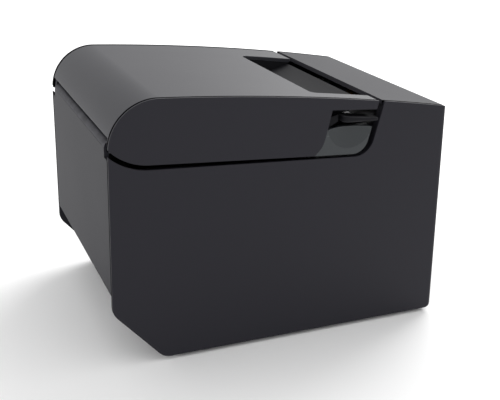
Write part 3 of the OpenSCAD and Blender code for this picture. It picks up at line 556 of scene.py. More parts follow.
def bearing(centre: Point2, point: Point2) -> float:
    """The angle in degrees at which a point is seen from a centre."""
    return math.degrees(math.atan2(point[1] - centre[1], point[0] - centre[0]))


def along_depth(_: Vector, way: Vector) -> bool:
    """Whether an edge runs from front to rear."""
    return abs(way.y) > 0.9


def pivot(joint: str) -> Point2:
    """The axis of a joint that turns about the width, in the side view."""
    spot = next(j for j in frame["joints"] if j["name"] == joint)["pos_m"]
    return (spot[1] / MM, spot[2] / MM)


def span(node: str) -> tuple[Vector, Vector]:
    """The lowest and the highest corner of a node."""
    low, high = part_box(node)
    return (low / MM, high / MM)


@dataclass(frozen=True)
class CaseForm:
    """Side view of the case, which the walls, the lid and the front cover share."""

    half_w: float
    front_y: float
    rear_y: float
    top_z: float
    hinge: Point2
    wall: float = 2.4
    lap: float = 1.2
    foot_h: float = 2.3
    rear_r: float = 25.5
    crown_r: float = 1430
    crown_ahead: float = 53
    front_lean: float = 2.3
    seam_lean: float = 13.4
    seam_in: float = 52.6
    seam_drop: float = 22.1
    cover_drop: float = 17
    front_r: float = 5
    cheek_slope: float = 2.7
    cheek_r: float = 30
    cheek_in: float = 20.5
    cheek_drop: float = 33.3
    cheek_front_r: float = 9
    low_gap: float = 1.6
    rear_gap: float = 2.6
    exit_gap: float = 3.6
    edge_r: float = 3
    bay_z: float = 43
    skin_low: float = 127.3

    @classmethod
    def from_frame(cls) -> "CaseForm":
        """Reads the overall sizes and the hinge from the frame."""
        low, high = CAD_BOX
        return cls(high.x / MM, low.y / MM, high.y / MM, high.z / MM, pivot("lid_hinge"))

    @property
    def in_x(self) -> float:
        """Inner face of a side wall."""
        return self.half_w - self.wall

    @property
    def lap_x(self) -> float:
        """Step in the side wall that the skin and the front cover meet."""
        return self.half_w - self.lap

    @property
    def tray_z(self) -> float:
        """Upper face of the base."""
        return self.foot_h + self.wall

    @property
    def rear_c(self) -> Point2:
        """Centre of the rear edge of the lid."""
        return (self.rear_y - self.rear_r, self.top_z - self.rear_r)

    @property
    def seam_foot(self) -> Point2:
        """A point on the leaning front edge of the lid."""
        return (self.front_y + self.seam_in, self.top_z - self.seam_drop)

    @property
    def crown_c(self) -> Point2:
        """Centre of the gentle crown."""
        rise = math.sqrt((self.crown_r - self.rear_r) ** 2 - self.crown_ahead**2)
        return (self.rear_c[0] + self.crown_ahead, self.rear_c[1] - rise)

    @property
    def crown_turn(self) -> float:
        """Angle at which the crown runs into the rear edge, in degrees."""
        return math.degrees(math.asin(self.crown_ahead / (self.crown_r - self.rear_r)))

    @property
    def cheek_c(self) -> Point2:
        """Centre of the rear arc of the lid's cheeks."""
        a = math.radians(self.cheek_slope)
        run = (self.rear_y - self.cheek_in, self.top_z - self.cheek_drop)
        return (run[0] - self.cheek_r * math.sin(a), run[1] + self.cheek_r * math.cos(a))

    def crown_z(self, y: float, deep: float = 0) -> float:
        """Height of the crown.

        Args:
            y: Place along the depth.
            deep: Distance below the outer face.

        Returns:
            The height.
        """
        c = self.crown_c
        return c[1] + math.sqrt((self.crown_r - deep) ** 2 - (y - c[0]) ** 2)

    def seam_y(self, z: float, out: float = 0) -> float:
        """Place of the leaning front edge of the lid.

        Args:
            z: Height.
            out: Gap that the line is moved forward by.

        Returns:
            The place along the depth.
        """
        a, foot = math.radians(self.seam_lean), self.seam_foot
        return foot[0] - out / math.cos(a) - (z - foot[1]) * math.tan(a)

    def seam_top(self, out: float = 0, deep: float = 0) -> Point2:
        """Where the leaning front edge meets the crown."""
        y = self.seam_y(self.top_z - 10, out)
        for _ in range(4):
            y = self.seam_y(self.crown_z(y, deep), out)
        return (y, self.crown_z(y, deep))

    def front_corner(self, radius: float, low: float, out: float) -> Point2:
        """Centre of the rounded front lower corner of a cheek.

        Args:
            radius: Radius of the corner.
            low: Gap below the cheek.
            out: Gap in front of the cheek.

        Returns:
            The centre.
        """
        a, b = math.radians(self.seam_lean), math.radians(self.cheek_slope)
        nf, nb = (math.cos(a), math.sin(a)), (-math.sin(b), math.cos(b))
        run = (self.rear_y - self.cheek_in, self.top_z - self.cheek_drop)
        df = nf[0] * self.seam_foot[0] + nf[1] * self.seam_foot[1] + radius - out
        db = nb[0] * run[0] + nb[1] * run[1] + radius - low
        det = nf[0] * nb[1] - nf[1] * nb[0]
        return ((df * nb[1] - db * nf[1]) / det, (nf[0] * db - nb[0] * df) / det)

    def front_face(self, z: float, deep: float = 0) -> float:
        """Place of the leaning front face at a height, deep below its surface."""
        a = math.radians(self.front_lean)
        start = self.foot_h + self.front_r
        return self.front_y + (z - start) * math.tan(a) + deep / math.cos(a)

    def front_edge_tool(self, hand: Hand) -> Workpiece:
        """What the rounding takes off one upright front edge, which leans with the face.

        Args:
            hand: Side of the edge.

        Returns:
            The tool, for a cut.
        """
        r, s, low, tall = self.edge_r, hand.value, -5, self.top_z + 10
        x, y = self.half_w - r, self.front_face(low)
        line = Outline("edge_tool", Plane.TOP, low, (s * x, y))
        line.line((s * x, y - 1), (s * (x + r + 1), y - 1), (s * (x + r + 1), y + r))
        line.line((s * (x + r), y + r)).arc((s * x, y + r), -90 * s, 10)
        return line.fill(tall, tall * math.tan(math.radians(self.front_lean)))

    def cheek_start(self, y: float, out: float = 0) -> float:
        """Angle on the rear arc of a cheek, or of the gap round it, at which the depth is y."""
        return -math.degrees(math.acos((y - self.cheek_c[0]) / (self.cheek_r + out)))

    def draw_low_edge(self, line: Outline, radius: float, low: float = 0, out: float = 0) -> None:
        """Draws from the rear of a cheek's lower edge to the foot of its front edge.

        Args:
            line: Outline that stands at the start of the rear arc.
            radius: Radius of the front corner.
            low: Gap below.
            out: Gap in front.
        """
        begin = bearing(self.cheek_c, line.at)
        line.arc(self.cheek_c, -90 + self.cheek_slope - begin)
        corner = self.front_corner(radius, low, out)
        line.line(around(corner, radius, 270 + self.cheek_slope))
        line.arc(corner, self.seam_lean - 90 - self.cheek_slope, 8)

    def draw_crown(self, line: Outline, y: float) -> None:
        """Draws along the crown to a place along the depth."""
        c = self.crown_c
        radius = math.dist(c, line.at)
        end = math.degrees(math.acos((y - c[0]) / radius))
        line.arc(c, end - bearing(c, line.at), 0.35)

    def draw_back(self, line: Outline, deep: float, z: float) -> None:
        """Draws from the front of the crown over the rear edge, down to a height.

        Args:
            line: Outline that stands on the crown.
            deep: Distance below the outer face.
            z: Height at which the rear edge ends.
        """
        c, turn = self.crown_c, self.crown_turn
        self.draw_crown(line, c[0] - (self.crown_r - deep) * math.sin(math.radians(turn)))
        end = math.degrees(math.asin((z - self.rear_c[1]) / (self.rear_r - deep)))
        line.arc(self.rear_c, end - bearing(self.rear_c, line.at), 4)


# ---- Shader arithmetic and nodes ----
class Socket:
    """An output of a shader node that takes part in Python expressions."""

    def __init__(self, sheet: "Shader", out: bpy.types.NodeSocket) -> None:
        """Wraps an output.

        Args:
            sheet: Shader that the node belongs to.
            out: The output.
        """
        self.sheet, self.out = sheet, out

    def _math(self, operation: str, *values: "Socket | float") -> "Socket":
        """Adds a Math node on the given values."""
        return self.sheet.node(
            "ShaderNodeMath", {"operation": operation}, dict(enumerate(values))
        )

    def __add__(self, other: "Socket | float") -> "Socket":
        """Sum."""
        return self._math("ADD", self, other)

    __radd__ = __add__

    def __mul__(self, other: "Socket | float") -> "Socket":
        """Product."""
        return self._math("MULTIPLY", self, other)

    __rmul__ = __mul__

    def __sub__(self, other: "Socket | float") -> "Socket":
        """Difference."""
        return self._math("SUBTRACT", self, other)

    def __rsub__(self, other: float) -> "Socket":
        """Difference from a number."""
        return self._math("SUBTRACT", other, self)

    def __truediv__(self, other: "Socket | float") -> "Socket":
        """Quotient."""
        return self._math("DIVIDE", self, other)

    def ramp(self, low: float, high: float) -> "Socket":
        """A smooth step from 0 at low to 1 at high.

        Args:
            low: Value at which the step begins.
            high: Value at which it ends.

        Returns:
            The stepped value.
        """
        return self.sheet.node(
            "ShaderNodeMapRange",
            {"interpolation_type": "SMOOTHSTEP"},
            {0: self, 1: low, 2: high, 3: 0.0, 4: 1.0},
        )


Input = Socket | float | Sequence[float]


class Shader:
    """A material under work, with its coordinates and its one surface node."""

    def __init__(self, name: str) -> None:
        """Starts an empty node material.

        Args:
            name: Name of the material.
        """
        self.material = bpy.data.materials.new(name)
        self.material.use_nodes = True
        self.tree = self.material.node_tree
        self.tree.nodes.clear()
        place = self.tree.nodes.new("ShaderNodeTexCoord")
        self.place = Socket(self, place.outputs["Object"])

    def node(
        self,
        kind: str,
        settings: dict[str, object] | None = None,
        inputs: dict[str | int, Input] | None = None,
        output: str | int = 0,
    ) -> Socket:
        """Adds one node.

        Args:
            kind: Type of the node.
            settings: Properties of the node, set before its inputs.
            inputs: Values or links of the node's inputs.
            output: The output that is returned.

        Returns:
            The chosen output.
        """
        made = self.tree.nodes.new(kind)
        for key, value in (settings or {}).items():
            setattr(made, key, value)
        for key, value in (inputs or {}).items():
            if isinstance(value, Socket):
                self.tree.links.new(value.out, made.inputs[key])
            else:
                made.inputs[key].default_value = value
        return Socket(self, made.outputs[output])

    def noise(self, size: float, detail: float = 2, stretch: Point3 = (1, 1, 1)) -> Socket:
        """Cloudy noise on the object's own coordinates.

        Args:
            size: Size of one cloud in millimetres.
            detail: Octaves of finer noise.
            stretch: Factors on the three coordinates.

        Returns:
            The noise, about 0.5 on average.
        """
        spot = self.place
        if stretch != (1, 1, 1):
            spot = self.node("ShaderNodeMapping", {}, {"Vector": spot, "Scale": stretch})
        return self.node(
            "ShaderNodeTexNoise",
            {"noise_dimensions": "3D"},
            {"Vector": spot, "Scale": 1 / (size * MM), "Detail": detail, "Roughness": 0.55},
        )

    def cells(self, size: float, output: str = "Distance") -> Socket:
        """Cell pattern on the object's own coordinates.

        Args:
            size: Size of one cell in millimetres.
            output: Output of the cell node.

        Returns:
            The chosen output.
        """
        return self.node(
            "ShaderNodeTexVoronoi", {}, {"Vector": self.place, "Scale": 1 / (size * MM)}, output
        )

    def mix(self, share: Input, low: Input, high: Input) -> Socket:
        """Blends two colours.

        Args:
            share: 0 for the first colour, 1 for the second.
            low: First colour.
            high: Second colour.

        Returns:
            The blended colour.
        """
        colours = [c if isinstance(c, Socket) else (*c, 1.0) for c in (low, high)]
        inputs = {0: share, 6: colours[0], 7: colours[1]}
        return self.node("ShaderNodeMix", {"data_type": "RGBA"}, inputs, 2)

    def edges(self) -> Socket:
        """A mask that is 1 on the narrow faces of rounded edges and 0 elsewhere."""
        return self.node("ShaderNodeAttribute", {"attribute_name": EDGE}, {}, "Fac")

    def bump(self, height: Socket, depth: float) -> Socket:
        """Turns a height into a normal.

        Args:
            height: Height from 0 to 1.
            depth: Height in millimetres that 1 stands for.

        Returns:
            The normal.
        """
        return self.node(
            "ShaderNodeBump", {}, {"Strength": 1.0, "Distance": depth * MM, "Height": height}
        )

    def surface(self, **inputs: Input) -> bpy.types.Material:
        """Adds the surface node and the output.

        Args:
            **inputs: Inputs of the surface, with _ for the spaces of their names.

        Returns:
            The finished material.
        """
        named = {key.replace("_", " "): value for key, value in inputs.items()}
        for key, value in named.items():
            if key.endswith(("Color", "Tint")) and not isinstance(value, Socket):
                named[key] = (*value, 1.0)
        skin = self.node("ShaderNodeBsdfPrincipled", {}, named)
        end = self.tree.nodes.new("ShaderNodeOutputMaterial")
        self.tree.links.new(skin.out, end.inputs["Surface"])
        return self.material


# ---- Finishes ----
@dataclass(frozen=True)
class Moulding:
    """Moulded plastic with a spark-eroded grain, faint cloudiness and paler rounded edges, which are a painted
    highlight.
    """

    name: str
    colour: Point3
    roughness: float = 0.5
    shine: float = 0.5
    grain: float = 0.55
    depth: float = 0.014
    leather: float = 1.5
    leather_depth: float = 0.008
    edge_highlight: float = 0.6

    def make(self) -> bpy.types.Material:
        """Builds the material."""
        s = Shader(self.name)
        cloud = s.noise(60, 2)
        fine = s.noise(self.grain, 2)
        pores = s.cells(self.leather)
        # Painted highlight: the narrow faces of rounded edges are blended, in patches, towards a pale colour,
        # standing in for light catching the edges.
        edge_highlight_mask = s.edges() * s.noise(7, 3).ramp(0.2, 0.7) * self.edge_highlight
        dark, light = ([c * share for c in self.colour] for share in (0.86, 1.14))
        tone = s.mix(cloud * 0.5 + fine * 0.5, dark, light)
        pale = [min(1.0, c * 2.2 + 0.03) for c in self.colour]
        height = fine * self.depth + pores * self.leather_depth
        total = self.depth + self.leather_depth
        return s.surface(
            Base_Color=s.mix(edge_highlight_mask, tone, pale),
            Roughness=self.roughness + (cloud - 0.5) * 0.05 + (fine - 0.5) * 0.06,
            Specular_IOR_Level=self.shine,
            Normal=s.bump(height / total, total),
        )


@dataclass(frozen=True)
class Rubber:
    """Matt rubber with a dusty bloom."""

    name: str
    colour: Point3 = (0.018, 0.018, 0.019)

    def make(self) -> bpy.types.Material:
        """Builds the material."""
        s = Shader(self.name)
        bloom = s.noise(6, 4)
        fine = s.noise(0.35, 2)
        return s.surface(
            Base_Color=s.mix(bloom.ramp(0.45, 0.8), self.colour, [c * 2 for c in self.colour]),
            Roughness=0.78 + (bloom - 0.5) * 0.2,
            Specular_IOR_Level=0.3,
            Normal=s.bump(fine, 0.04),
        )


@dataclass(frozen=True)
class SheetSteel:
    """Galvanised sheet with spangle, fine scratches and a few stains."""

    name: str
    colour: Point3 = (0.5, 0.51, 0.52)
    spangle: float = 5.5

    def make(self) -> bpy.types.Material:
        """Builds the material."""
        s = Shader(self.name)
        crystal = s.node("ShaderNodeSeparateColor", {}, {"Color": s.cells(self.spangle, "Color")})
        scratch = s.noise(0.5, 3, (1, 0.08, 1))
        stain = s.noise(22, 4).ramp(0.5, 0.75)
        tone = s.mix(crystal, [c * 0.72 for c in self.colour], self.colour)
        return s.surface(
            Base_Color=s.mix(stain * 0.4, tone, [c * 0.5 for c in self.colour]),
            Metallic=1.0,
            Roughness=0.3 + crystal * 0.14 + scratch * 0.1 + stain * 0.1,
            Normal=s.bump(scratch, 0.008),
        )


@dataclass(frozen=True)
class TurnedMetal:
    """Ground or turned metal with fine tool marks round or along the part."""

    name: str
    colour: Point3
    roughness: float = 0.24
    marks: float = 0.25

    def make(self) -> bpy.types.Material:
        """Builds the material."""
        s = Shader(self.name)
        rings = s.noise(self.marks, 3, (1, 0.12, 0.12))
        smear = s.noise(9, 3)
        dull = s.mix(smear, [c * 0.78 for c in self.colour], self.colour)
        return s.surface(
            Base_Color=s.mix(s.edges() * 0.5, dull, [min(1, c * 1.25) for c in self.colour]),
            Metallic=1.0,
            Roughness=self.roughness + rings * 0.12 + smear * 0.08,
            Normal=s.bump(rings, 0.006),
        )


@dataclass(frozen=True)
class CircuitBoard:
    """Solder mask over copper tracks, with darker and paler stripes where the copper runs."""

    name: str
    colour: Point3 = (0.015, 0.11, 0.05)
    pitch: float = 2.4

    def make(self) -> bpy.types.Material:
        """Builds the material."""
        s = Shader(self.name)
        across = s.node(
            "ShaderNodeTexWave",
            {"wave_type": "BANDS", "bands_direction": "X", "wave_profile": "SAW"},
            {"Vector": s.place, "Scale": 1 / (self.pitch * MM) / 3.1, "Distortion": 0.0},
            "Fac",
        )
        zone = s.cells(15, "Distance").ramp(0.25, 0.3)
        track = across.ramp(0.45, 0.55) * zone
        via = 1 - s.cells(4.2).ramp(0.1, 0.14)
        tone = s.mix(track, self.colour, [c * 1.9 for c in self.colour])
        return s.surface(
            Base_Color=s.mix(via * 0.8, tone, (0.4, 0.36, 0.2)),
            Roughness=0.34 + s.noise(3, 2) * 0.1,
            Coat_Weight=0.3,
            Normal=s.bump(track, 0.03),
        )


@dataclass(frozen=True)
class Ceramic:
    """Glazed ceramic with faint specks."""

    name: str
    colour: Point3 = (0.72, 0.7, 0.64)

    def make(self) -> bpy.types.Material:
        """Builds the material."""
        s = Shader(self.name)
        speck = s.noise(0.6, 2)
        tone = s.mix(speck, [c * 0.86 for c in self.colour], self.colour)
        return s.surface(Base_Color=tone, Roughness=0.18 + speck * 0.1, Coat_Weight=0.5)


@dataclass(frozen=True)
class ClearMoulding:
    """Clear acrylic with a faint frost inside."""

    name: str
    colour: Point3 = (0.75, 0.83, 0.85)

    def make(self) -> bpy.types.Material:
        """Builds the material."""
        s = Shader(self.name)
        frost = s.noise(0.8, 3)
        return s.surface(
            Base_Color=s.mix(frost, [c * 0.9 for c in self.colour], self.colour),
            Roughness=0.16 + frost * 0.16,
            Transmission_Weight=0.55,
            IOR=1.49,
        )


class Finishes:
    """The finish of every material slot of the record."""

    def __init__(self) -> None:
        """Builds all the materials."""
        kinds = {
            "case_black": Moulding("case_plastic", (0.0135, 0.013, 0.0182), 0.58, 0.22),
            "lid_black": Moulding("lid_plastic", (0.0155, 0.0155, 0.0215), 0.5, 0.42),
            "inner_black": Moulding(
                "inner_plastic", (0.0078, 0.0078, 0.0096), 0.62, 0.1, leather_depth=0.0
            ),
            "rubber_black": Rubber("dark_rubber"),
            "frame_steel": SheetSteel("galvanised_sheet"),
            "bright_steel": TurnedMetal("ground_steel", (0.62, 0.62, 0.63)),
            "board_green": CircuitBoard("solder_mask"),
            "component_black": Moulding(
                "chip_resin", (0.011, 0.011, 0.012), 0.62, 0.4, leather_depth=0.0, edge_highlight=0.1
            ),
            "capacitor_sleeve": Moulding(
                "shrink_sleeve", (0.02, 0.028, 0.085), 0.3, 0.5, leather_depth=0.0, edge_highlight=0.1
            ),
            "port_shell": TurnedMetal("tinned_shell", (0.56, 0.57, 0.58), 0.3),
            "light_clear": ClearMoulding("light_pipe_acrylic"),
            "gear_white": Moulding(
                "natural_acetal", (0.7, 0.69, 0.64), 0.4, 0.5, depth=0.01, leather_depth=0, edge_highlight=0
            ),
            "pinion_brass": TurnedMetal("cut_brass", (0.72, 0.5, 0.22), 0.22),
            "head_ceramic": Ceramic("glazed_ceramic"),
            "head_aluminium": TurnedMetal("extruded_aluminium", (0.6, 0.6, 0.62), 0.34, 0.4),
            "switch_black": Moulding(
                "rocker_plastic", (0.008, 0.008, 0.009), 0.26, 0.5, leather_depth=0.0
            ),
            "key_grey": Moulding("key_plastic", (0.05, 0.052, 0.056), 0.42, 0.45),
        }
        self.by_slot = {slot: kind.make() for slot, kind in kinds.items()}
        # Painted light: the scoop's plastic is a paler copy of the inner plastic, standing in for the light that
        # its upward-facing dish catches.
        self.scoop = Moulding("lit_scoop_plastic", (0.031, 0.035, 0.038), 0.5, 0.36).make()
        # Painted shadow: near-black matt strips laid in the seams, standing in for the shade inside the grooves.
        self.seam = Moulding("seam_inlay", (0.001, 0.001, 0.0012), 0.95, 0.0, edge_highlight=0).make()
        self.slot_of = {
            part["node"]: part["material_slot"] for part in frame["record"]["subparts"]
        }

    def __getitem__(self, slot: str) -> bpy.types.Material:
        """The material of a slot."""
        return self.by_slot[slot]

    def dress(self, node: str) -> None:
        """Gives a carried-over node the finish of its slot."""
        thing = frame["nodes"][node]
        material = self.by_slot[self.slot_of[node]]
        if not thing.data.materials:
            thing.data.materials.append(material)
        for slot in thing.material_slots:
            slot.material = material


# ---- Sub-assemblies ----
@dataclass
class Assembly:
    """A group of pieces that are built together."""

    form: CaseForm
    finishes: Finishes

    def place(self, piece: Workpiece, body: str, slot: str, *nodes: str) -> None:
        """Dresses a piece in the finish of its slot and hangs it on its body.

        Args:
            piece: The shaped piece.
            body: Body that it moves with.
            slot: Material slot of the record.
            *nodes: Nodes that it stands for.
        """
        piece.finish(body, slot, self.finishes[slot], nodes)

    def place_seam_shadow(self, shadow_strip: Workpiece, body: str) -> None:
        """Hangs a near-black seam strip, a painted shadow, on its body."""
        shadow_strip.finish(body, "inner_black", self.finishes.seam)


@dataclass
class SideWall(Assembly):
    """One side wall of the case: outer layer, stepped inner layer and the ledge below the lid."""

    hand: Hand = Hand.LEFT
    ledge: float = 5.2
    ledge_t: float = 1.5
    rebate: float = 1.6
    rear_cut: Point2 = (27.6, 30.8)
    rear_cut_r: float = 9
    edge: float = 0.55

    def outer(self) -> Workpiece:
        """The layer that is seen, with the full outline."""
        f, side = self.form, self.hand.value
        start = self.gap_start(f.rear_y)
        line = Outline(f"side_wall_{self.hand.word}", Plane.SIDE, side * f.lap_x, start)
        self.draw_gap(line)
        line.line(f.seam_top(f.exit_gap))
        self.draw_front(line, 0)
        self.draw_bottom(line)
        line.line((f.rear_y, start[1]))
        return line.fill(side * f.lap)

    def draw_front(self, line: Outline, deep: float) -> None:
        """Draws the top of the front cover and the front face down to the lower corner.

        Args:
            line: Outline that stands at the rear top of the front cover.
            deep: Distance below the outer face.
        """
        f = self.form
        top_y = f.front_face(f.top_z - f.cover_drop)
        f.draw_crown(line, top_y + 3)
        z = f.crown_z(top_y, deep)
        corner = (f.front_face(z, deep), z)
        line.corner(corner, (f.front_face(30, deep), 30), max(2 - deep, 0.4))
        line.line((f.front_face(f.foot_h + f.front_r, deep), f.foot_h + f.front_r))

    def draw_bottom(self, line: Outline) -> None:
        """Draws round the lower front corner, along the bottom and up the rear chamfer."""
        f = self.form
        low = (f.front_face(f.foot_h + f.front_r) + f.front_r, f.foot_h + f.front_r)
        if math.dist(line.at, low) > f.front_r - 0.1:
            line.arc(low, 90, 10)
        first = (f.rear_y - self.rear_cut[0], f.foot_h)
        second = (f.rear_y, f.foot_h + self.rear_cut[1])
        line.corner(first, second, self.rear_cut_r)
        line.corner(second, (f.rear_y, f.foot_h + 60), self.rear_cut_r)

    def inner(self) -> Workpiece:
        """The layer behind the front cover and the rear panel."""
        f, side = self.form, self.hand.value
        deep, back, more = f.wall, f.rear_y - f.wall, self.rebate
        line = Outline("inner_layer", Plane.SIDE, side * f.in_x, self.gap_start(back, more))
        self.draw_gap(line, more)
        line.line(f.seam_top(f.exit_gap + more, deep))
        self.draw_front(line, deep)
        line.line((f.front_face(f.tray_z, deep) + 2, f.foot_h))
        self.draw_bottom(line)
        line.line((f.rear_y, f.bay_z), (back, f.bay_z))
        return line.fill(side * (f.lap + BITE))

    def shelf(self) -> Workpiece:
        """The ledge that closes the gap below the lid from inside."""
        f, side, back = self.form, self.hand.value, self.form.rear_y - self.form.wall
        more, far = self.rebate, self.rebate + self.ledge_t
        level = side * (f.in_x - self.ledge)
        line = Outline("shelf", Plane.SIDE, level, self.gap_start(back, more))
        self.draw_gap(line, more)
        line.line(f.seam_top(f.exit_gap + more, f.wall), f.seam_top(f.exit_gap + far, f.wall))
        radius = f.cheek_front_r + 2 + far
        corner = f.front_corner(radius, f.low_gap + far, f.exit_gap + far)
        line.line(around(corner, radius, 180 + f.seam_lean))
        line.arc(corner, 90 + f.cheek_slope - f.seam_lean, 8)
        line.line(around(f.cheek_c, f.cheek_r + f.rear_gap + far, -90 + f.cheek_slope))
        line.arc(f.cheek_c, f.cheek_start(back, f.rear_gap + far) + 90 - f.cheek_slope)
        return line.fill(side * (self.ledge + BITE))

    def gap_start(self, y: float, more: float = 0) -> Point2:
        """The point at a depth y on the rear arc of the gap, more below its edge."""
        f = self.form
        gap = f.rear_gap + more
        return around(f.cheek_c, f.cheek_r + gap, f.cheek_start(y, gap))

    def draw_gap(self, line: Outline, more: float = 0) -> None:
        """Draws the lower side of the gap round the lid's cheek.

        Args:
            line: Outline that stands at the rear of the gap.
            more: Distance below the edge of the gap.
        """
        f = self.form
        radius = f.cheek_front_r + 2 + more
        f.draw_low_edge(line, radius, f.low_gap + more, f.exit_gap + more)

    def build(self) -> None:
        """Builds and dresses the wall."""
        wall = self.outer().add(self.inner(), self.shelf())
        wall.cut(self.form.front_edge_tool(self.hand)).soften(self.edge)
        self.place(wall, "base", "case_black", f"side_panel_{self.hand.word}")


@dataclass
class RearPanel(Assembly):
    """Rear panel with the hinge knuckle along its top edge."""

    groove: float = 1.4
    sunk: float = 0.08
    knuckle_r: float = 3.2
    knuckle_in: float = 8
    pin_in: float = 7
    pin_d: float = 3.1
    step: float = 5

    def build(self) -> None:
        """Builds and dresses the panel."""
        f = self.form
        half, knuckle = f.lap_x - self.groove, f.half_w - self.knuckle_in
        hinge_z = f.hinge[1]
        edge_z = hinge_z - self.step
        line = Outline("rear_panel_shell", Plane.FRONT, f.rear_y - f.wall, (-half, f.bay_z))
        line.line((half, f.bay_z))
        line.corner((half, edge_z), (knuckle, edge_z), 1.2)
        line.line((knuckle, edge_z), (knuckle, hinge_z), (-knuckle, hinge_z), (-knuckle, edge_z))
        line.corner((-half, edge_z), (-half, f.bay_z), 1.2)
        panel = line.fill(f.wall)
        panel.add(Workpiece.rod("roll", Plane.SIDE, (0, *f.hinge), self.knuckle_r, 2 * knuckle, 72))
        for side in (-1, 1):
            spot = (side * (knuckle - self.pin_in / 2 + 0.5), *f.hinge)
            panel.cut(
                Workpiece.rod("seat", Plane.SIDE, spot, self.pin_d / 2, self.pin_in + 1.2, 32)
            )
        self.place(panel.soften(0.45), "base", "case_black", "rear_panel")
        # Near-black strips in the seams at the rear corners, a painted shadow in the grooves.
        for hand in Hand:
            x = sorted((hand.value * half, hand.value * f.lap_x))
            low = (x[0], f.rear_y - f.wall, f.bay_z)
            high = (x[1], f.rear_y - self.sunk, edge_z - 0.4)
            shadow_strip = Workpiece.block(f"rear_seam_{hand.word}", low, high)
            self.place_seam_shadow(shadow_strip.soften(0.06, 1), "base")


@dataclass
class FrontCover(Assembly):
    """Front cover with its feed key, light pipes and mains rocker."""

    groove: float = 1.8
    sunk: float = 0.08
    edge: float = 0.3
    key: Point2 = (-45, 108)
    key_d: float = 10
    flange_t: float = 0.8
    lights: tuple[float, ...] = (-28, -20, -12)
    rocker: Point2 = (48, 22)
    rocker_size: Point2 = (12, 20)

    def shell(self) -> None:
        """Builds the cover itself."""
        f = self.form
        wall = SideWall(f, self.finishes)
        half = f.lap_x - self.groove
        line = Outline("front_cover_shell", Plane.SIDE, -half, f.seam_top(f.exit_gap))
        wall.draw_front(line, 0)
        low = (f.front_face(f.foot_h + f.front_r) + f.front_r, f.foot_h + f.front_r)
        line.arc(low, math.degrees(math.asin((low[1] - f.tray_z) / f.front_r)), 8)
        line.line((line.at[0] + f.wall, f.tray_z))
        sheet = self.draw_inside(line, f.wall).fill(2 * half)
        kx, kz = self.key
        key_y = f.front_face(kz)
        rounds = [(kx, self.key_d / 2 + 0.3, 64)] + [(x, 1.55, 24) for x in self.lights]
        for x, radius, sides in rounds:
            sheet.cut(Workpiece.rod("hole", Plane.FRONT, (x, key_y, kz), radius, 12, sides))
        y = f.front_face(self.rocker[1])
        sheet.cut(self.round_rocker("hole", 2.1, y - 6, y + 6).soften_where(1.2, along_depth))
        sheet.cut(*(f.front_edge_tool(hand) for hand in Hand)).soften(self.edge)
        start, end = key_y + f.wall / 2, span("front_cover")[1].y
        board = span("control_board")
        for x in (board[0].x + 3, board[1].x - 4):
            middle = (x, (start + end) / 2, kz)
            sheet.add(Workpiece.rod("post", Plane.FRONT, middle, 3, end - start, 24))
        self.place(sheet, "base", "case_black", "front_cover")

    def round_rocker(self, name: str, margin: float, front: float, back: float) -> Workpiece:
        """A block that is the rocker's face and a margin all round.

        Args:
            name: Name of the piece.
            margin: Margin round the rocker.
            front: Front of the block.
            back: Back of the block.

        Returns:
            The block.
        """
        (x, z), (w, h) = self.rocker, self.rocker_size
        low = (x - w / 2 - margin, front, z - h / 2 - margin)
        return Workpiece.block(name, low, (x + w / 2 + margin, back, z + h / 2 + margin))

    def draw_inside(self, line: Outline, deep: float) -> Outline:
        """Draws back up behind the front face and under the top, to the seam.

        Args:
            line: Outline that stands at the foot of the front face.
            deep: Distance below the outer face.

        Returns:
            The outline, ready to be filled.
        """
        f = self.form
        low, top_y = f.foot_h + f.front_r, f.front_face(f.top_z - f.cover_drop, deep)
        line.line((f.front_face(low, deep), low))
        after = (top_y + 20, f.crown_z(top_y + 20, deep))
        line.corner((top_y, f.crown_z(top_y, deep)), after, 0.6)
        f.draw_crown(line, f.seam_top(f.exit_gap, deep)[0])
        return line

    def seam_inlay(self, hand: Hand) -> None:
        """Lays a near-black strip in the seam between the cover and a side wall, a painted shadow in the groove.
        """
        f, side = self.form, hand.value
        level = side * (f.lap_x - self.groove)
        line = Outline(
            f"cover_seam_{hand.word}", Plane.SIDE, level, f.seam_top(f.exit_gap, self.sunk)
        )
        SideWall(f, self.finishes).draw_front(line, self.sunk)
        shadow_strip = self.draw_inside(line, self.sunk + 1.1).fill(side * self.groove)
        shadow_strip.cut(f.front_edge_tool(hand)).soften(0.05, 1, 60)
        self.place_seam_shadow(shadow_strip, "base")

    def feed_key(self) -> None:
        """Builds the round key with a dished face and its flange."""
        low, high = span("feed_button")
        (kx, kz), radius, flange_t = self.key, self.key_d / 2, self.flange_t
        middle = (kx, (low.y + high.y - flange_t) / 2, kz)
        cap = Workpiece.rod(
            "feed_key_cap", Plane.FRONT, middle, radius, high.y - low.y - flange_t, 64
        )
        with cap.editing():
            cap.pick(Element.FACE, lambda _, way: way.y < -0.9)
            bpy.ops.mesh.inset(thickness=1.0 * MM, depth=0)
            for inward, depth in ((1.0, 0.22), (1.2, 0.12)):
                bpy.ops.mesh.inset(thickness=inward * MM, depth=-depth * MM)
        middle = (kx, high.y - flange_t / 2, kz)
        cap.add(Workpiece.rod("flange", Plane.FRONT, middle, radius + 1, flange_t, 64))
        self.place(cap.soften(0.3, 3, 50), "feed_key", "key_grey", "feed_button")

    def light_pipes(self) -> None:
        """Builds one domed light pipe and copies it."""
        low, high = span("light_pipes")
        middle = (self.lights[0], (low.y + high.y) / 2, self.key[1])
        first = Workpiece.rod("light_pipe_1", Plane.FRONT, middle, 1.5, high.y - low.y, 32)
        with first.editing():
            first.pick(Element.FACE, lambda _, way: way.y < -0.9)
            bpy.ops.mesh.inset(thickness=0.5 * MM, depth=0)
            bpy.ops.mesh.inset(thickness=0.5 * MM, depth=0.12 * MM)
        first.soften(0.35, 4, 50)
        for pipe in first.repeat([(x - self.lights[0], 0, 0) for x in self.lights[1:]]):
            self.place(pipe, "base", "light_clear", "light_pipes")

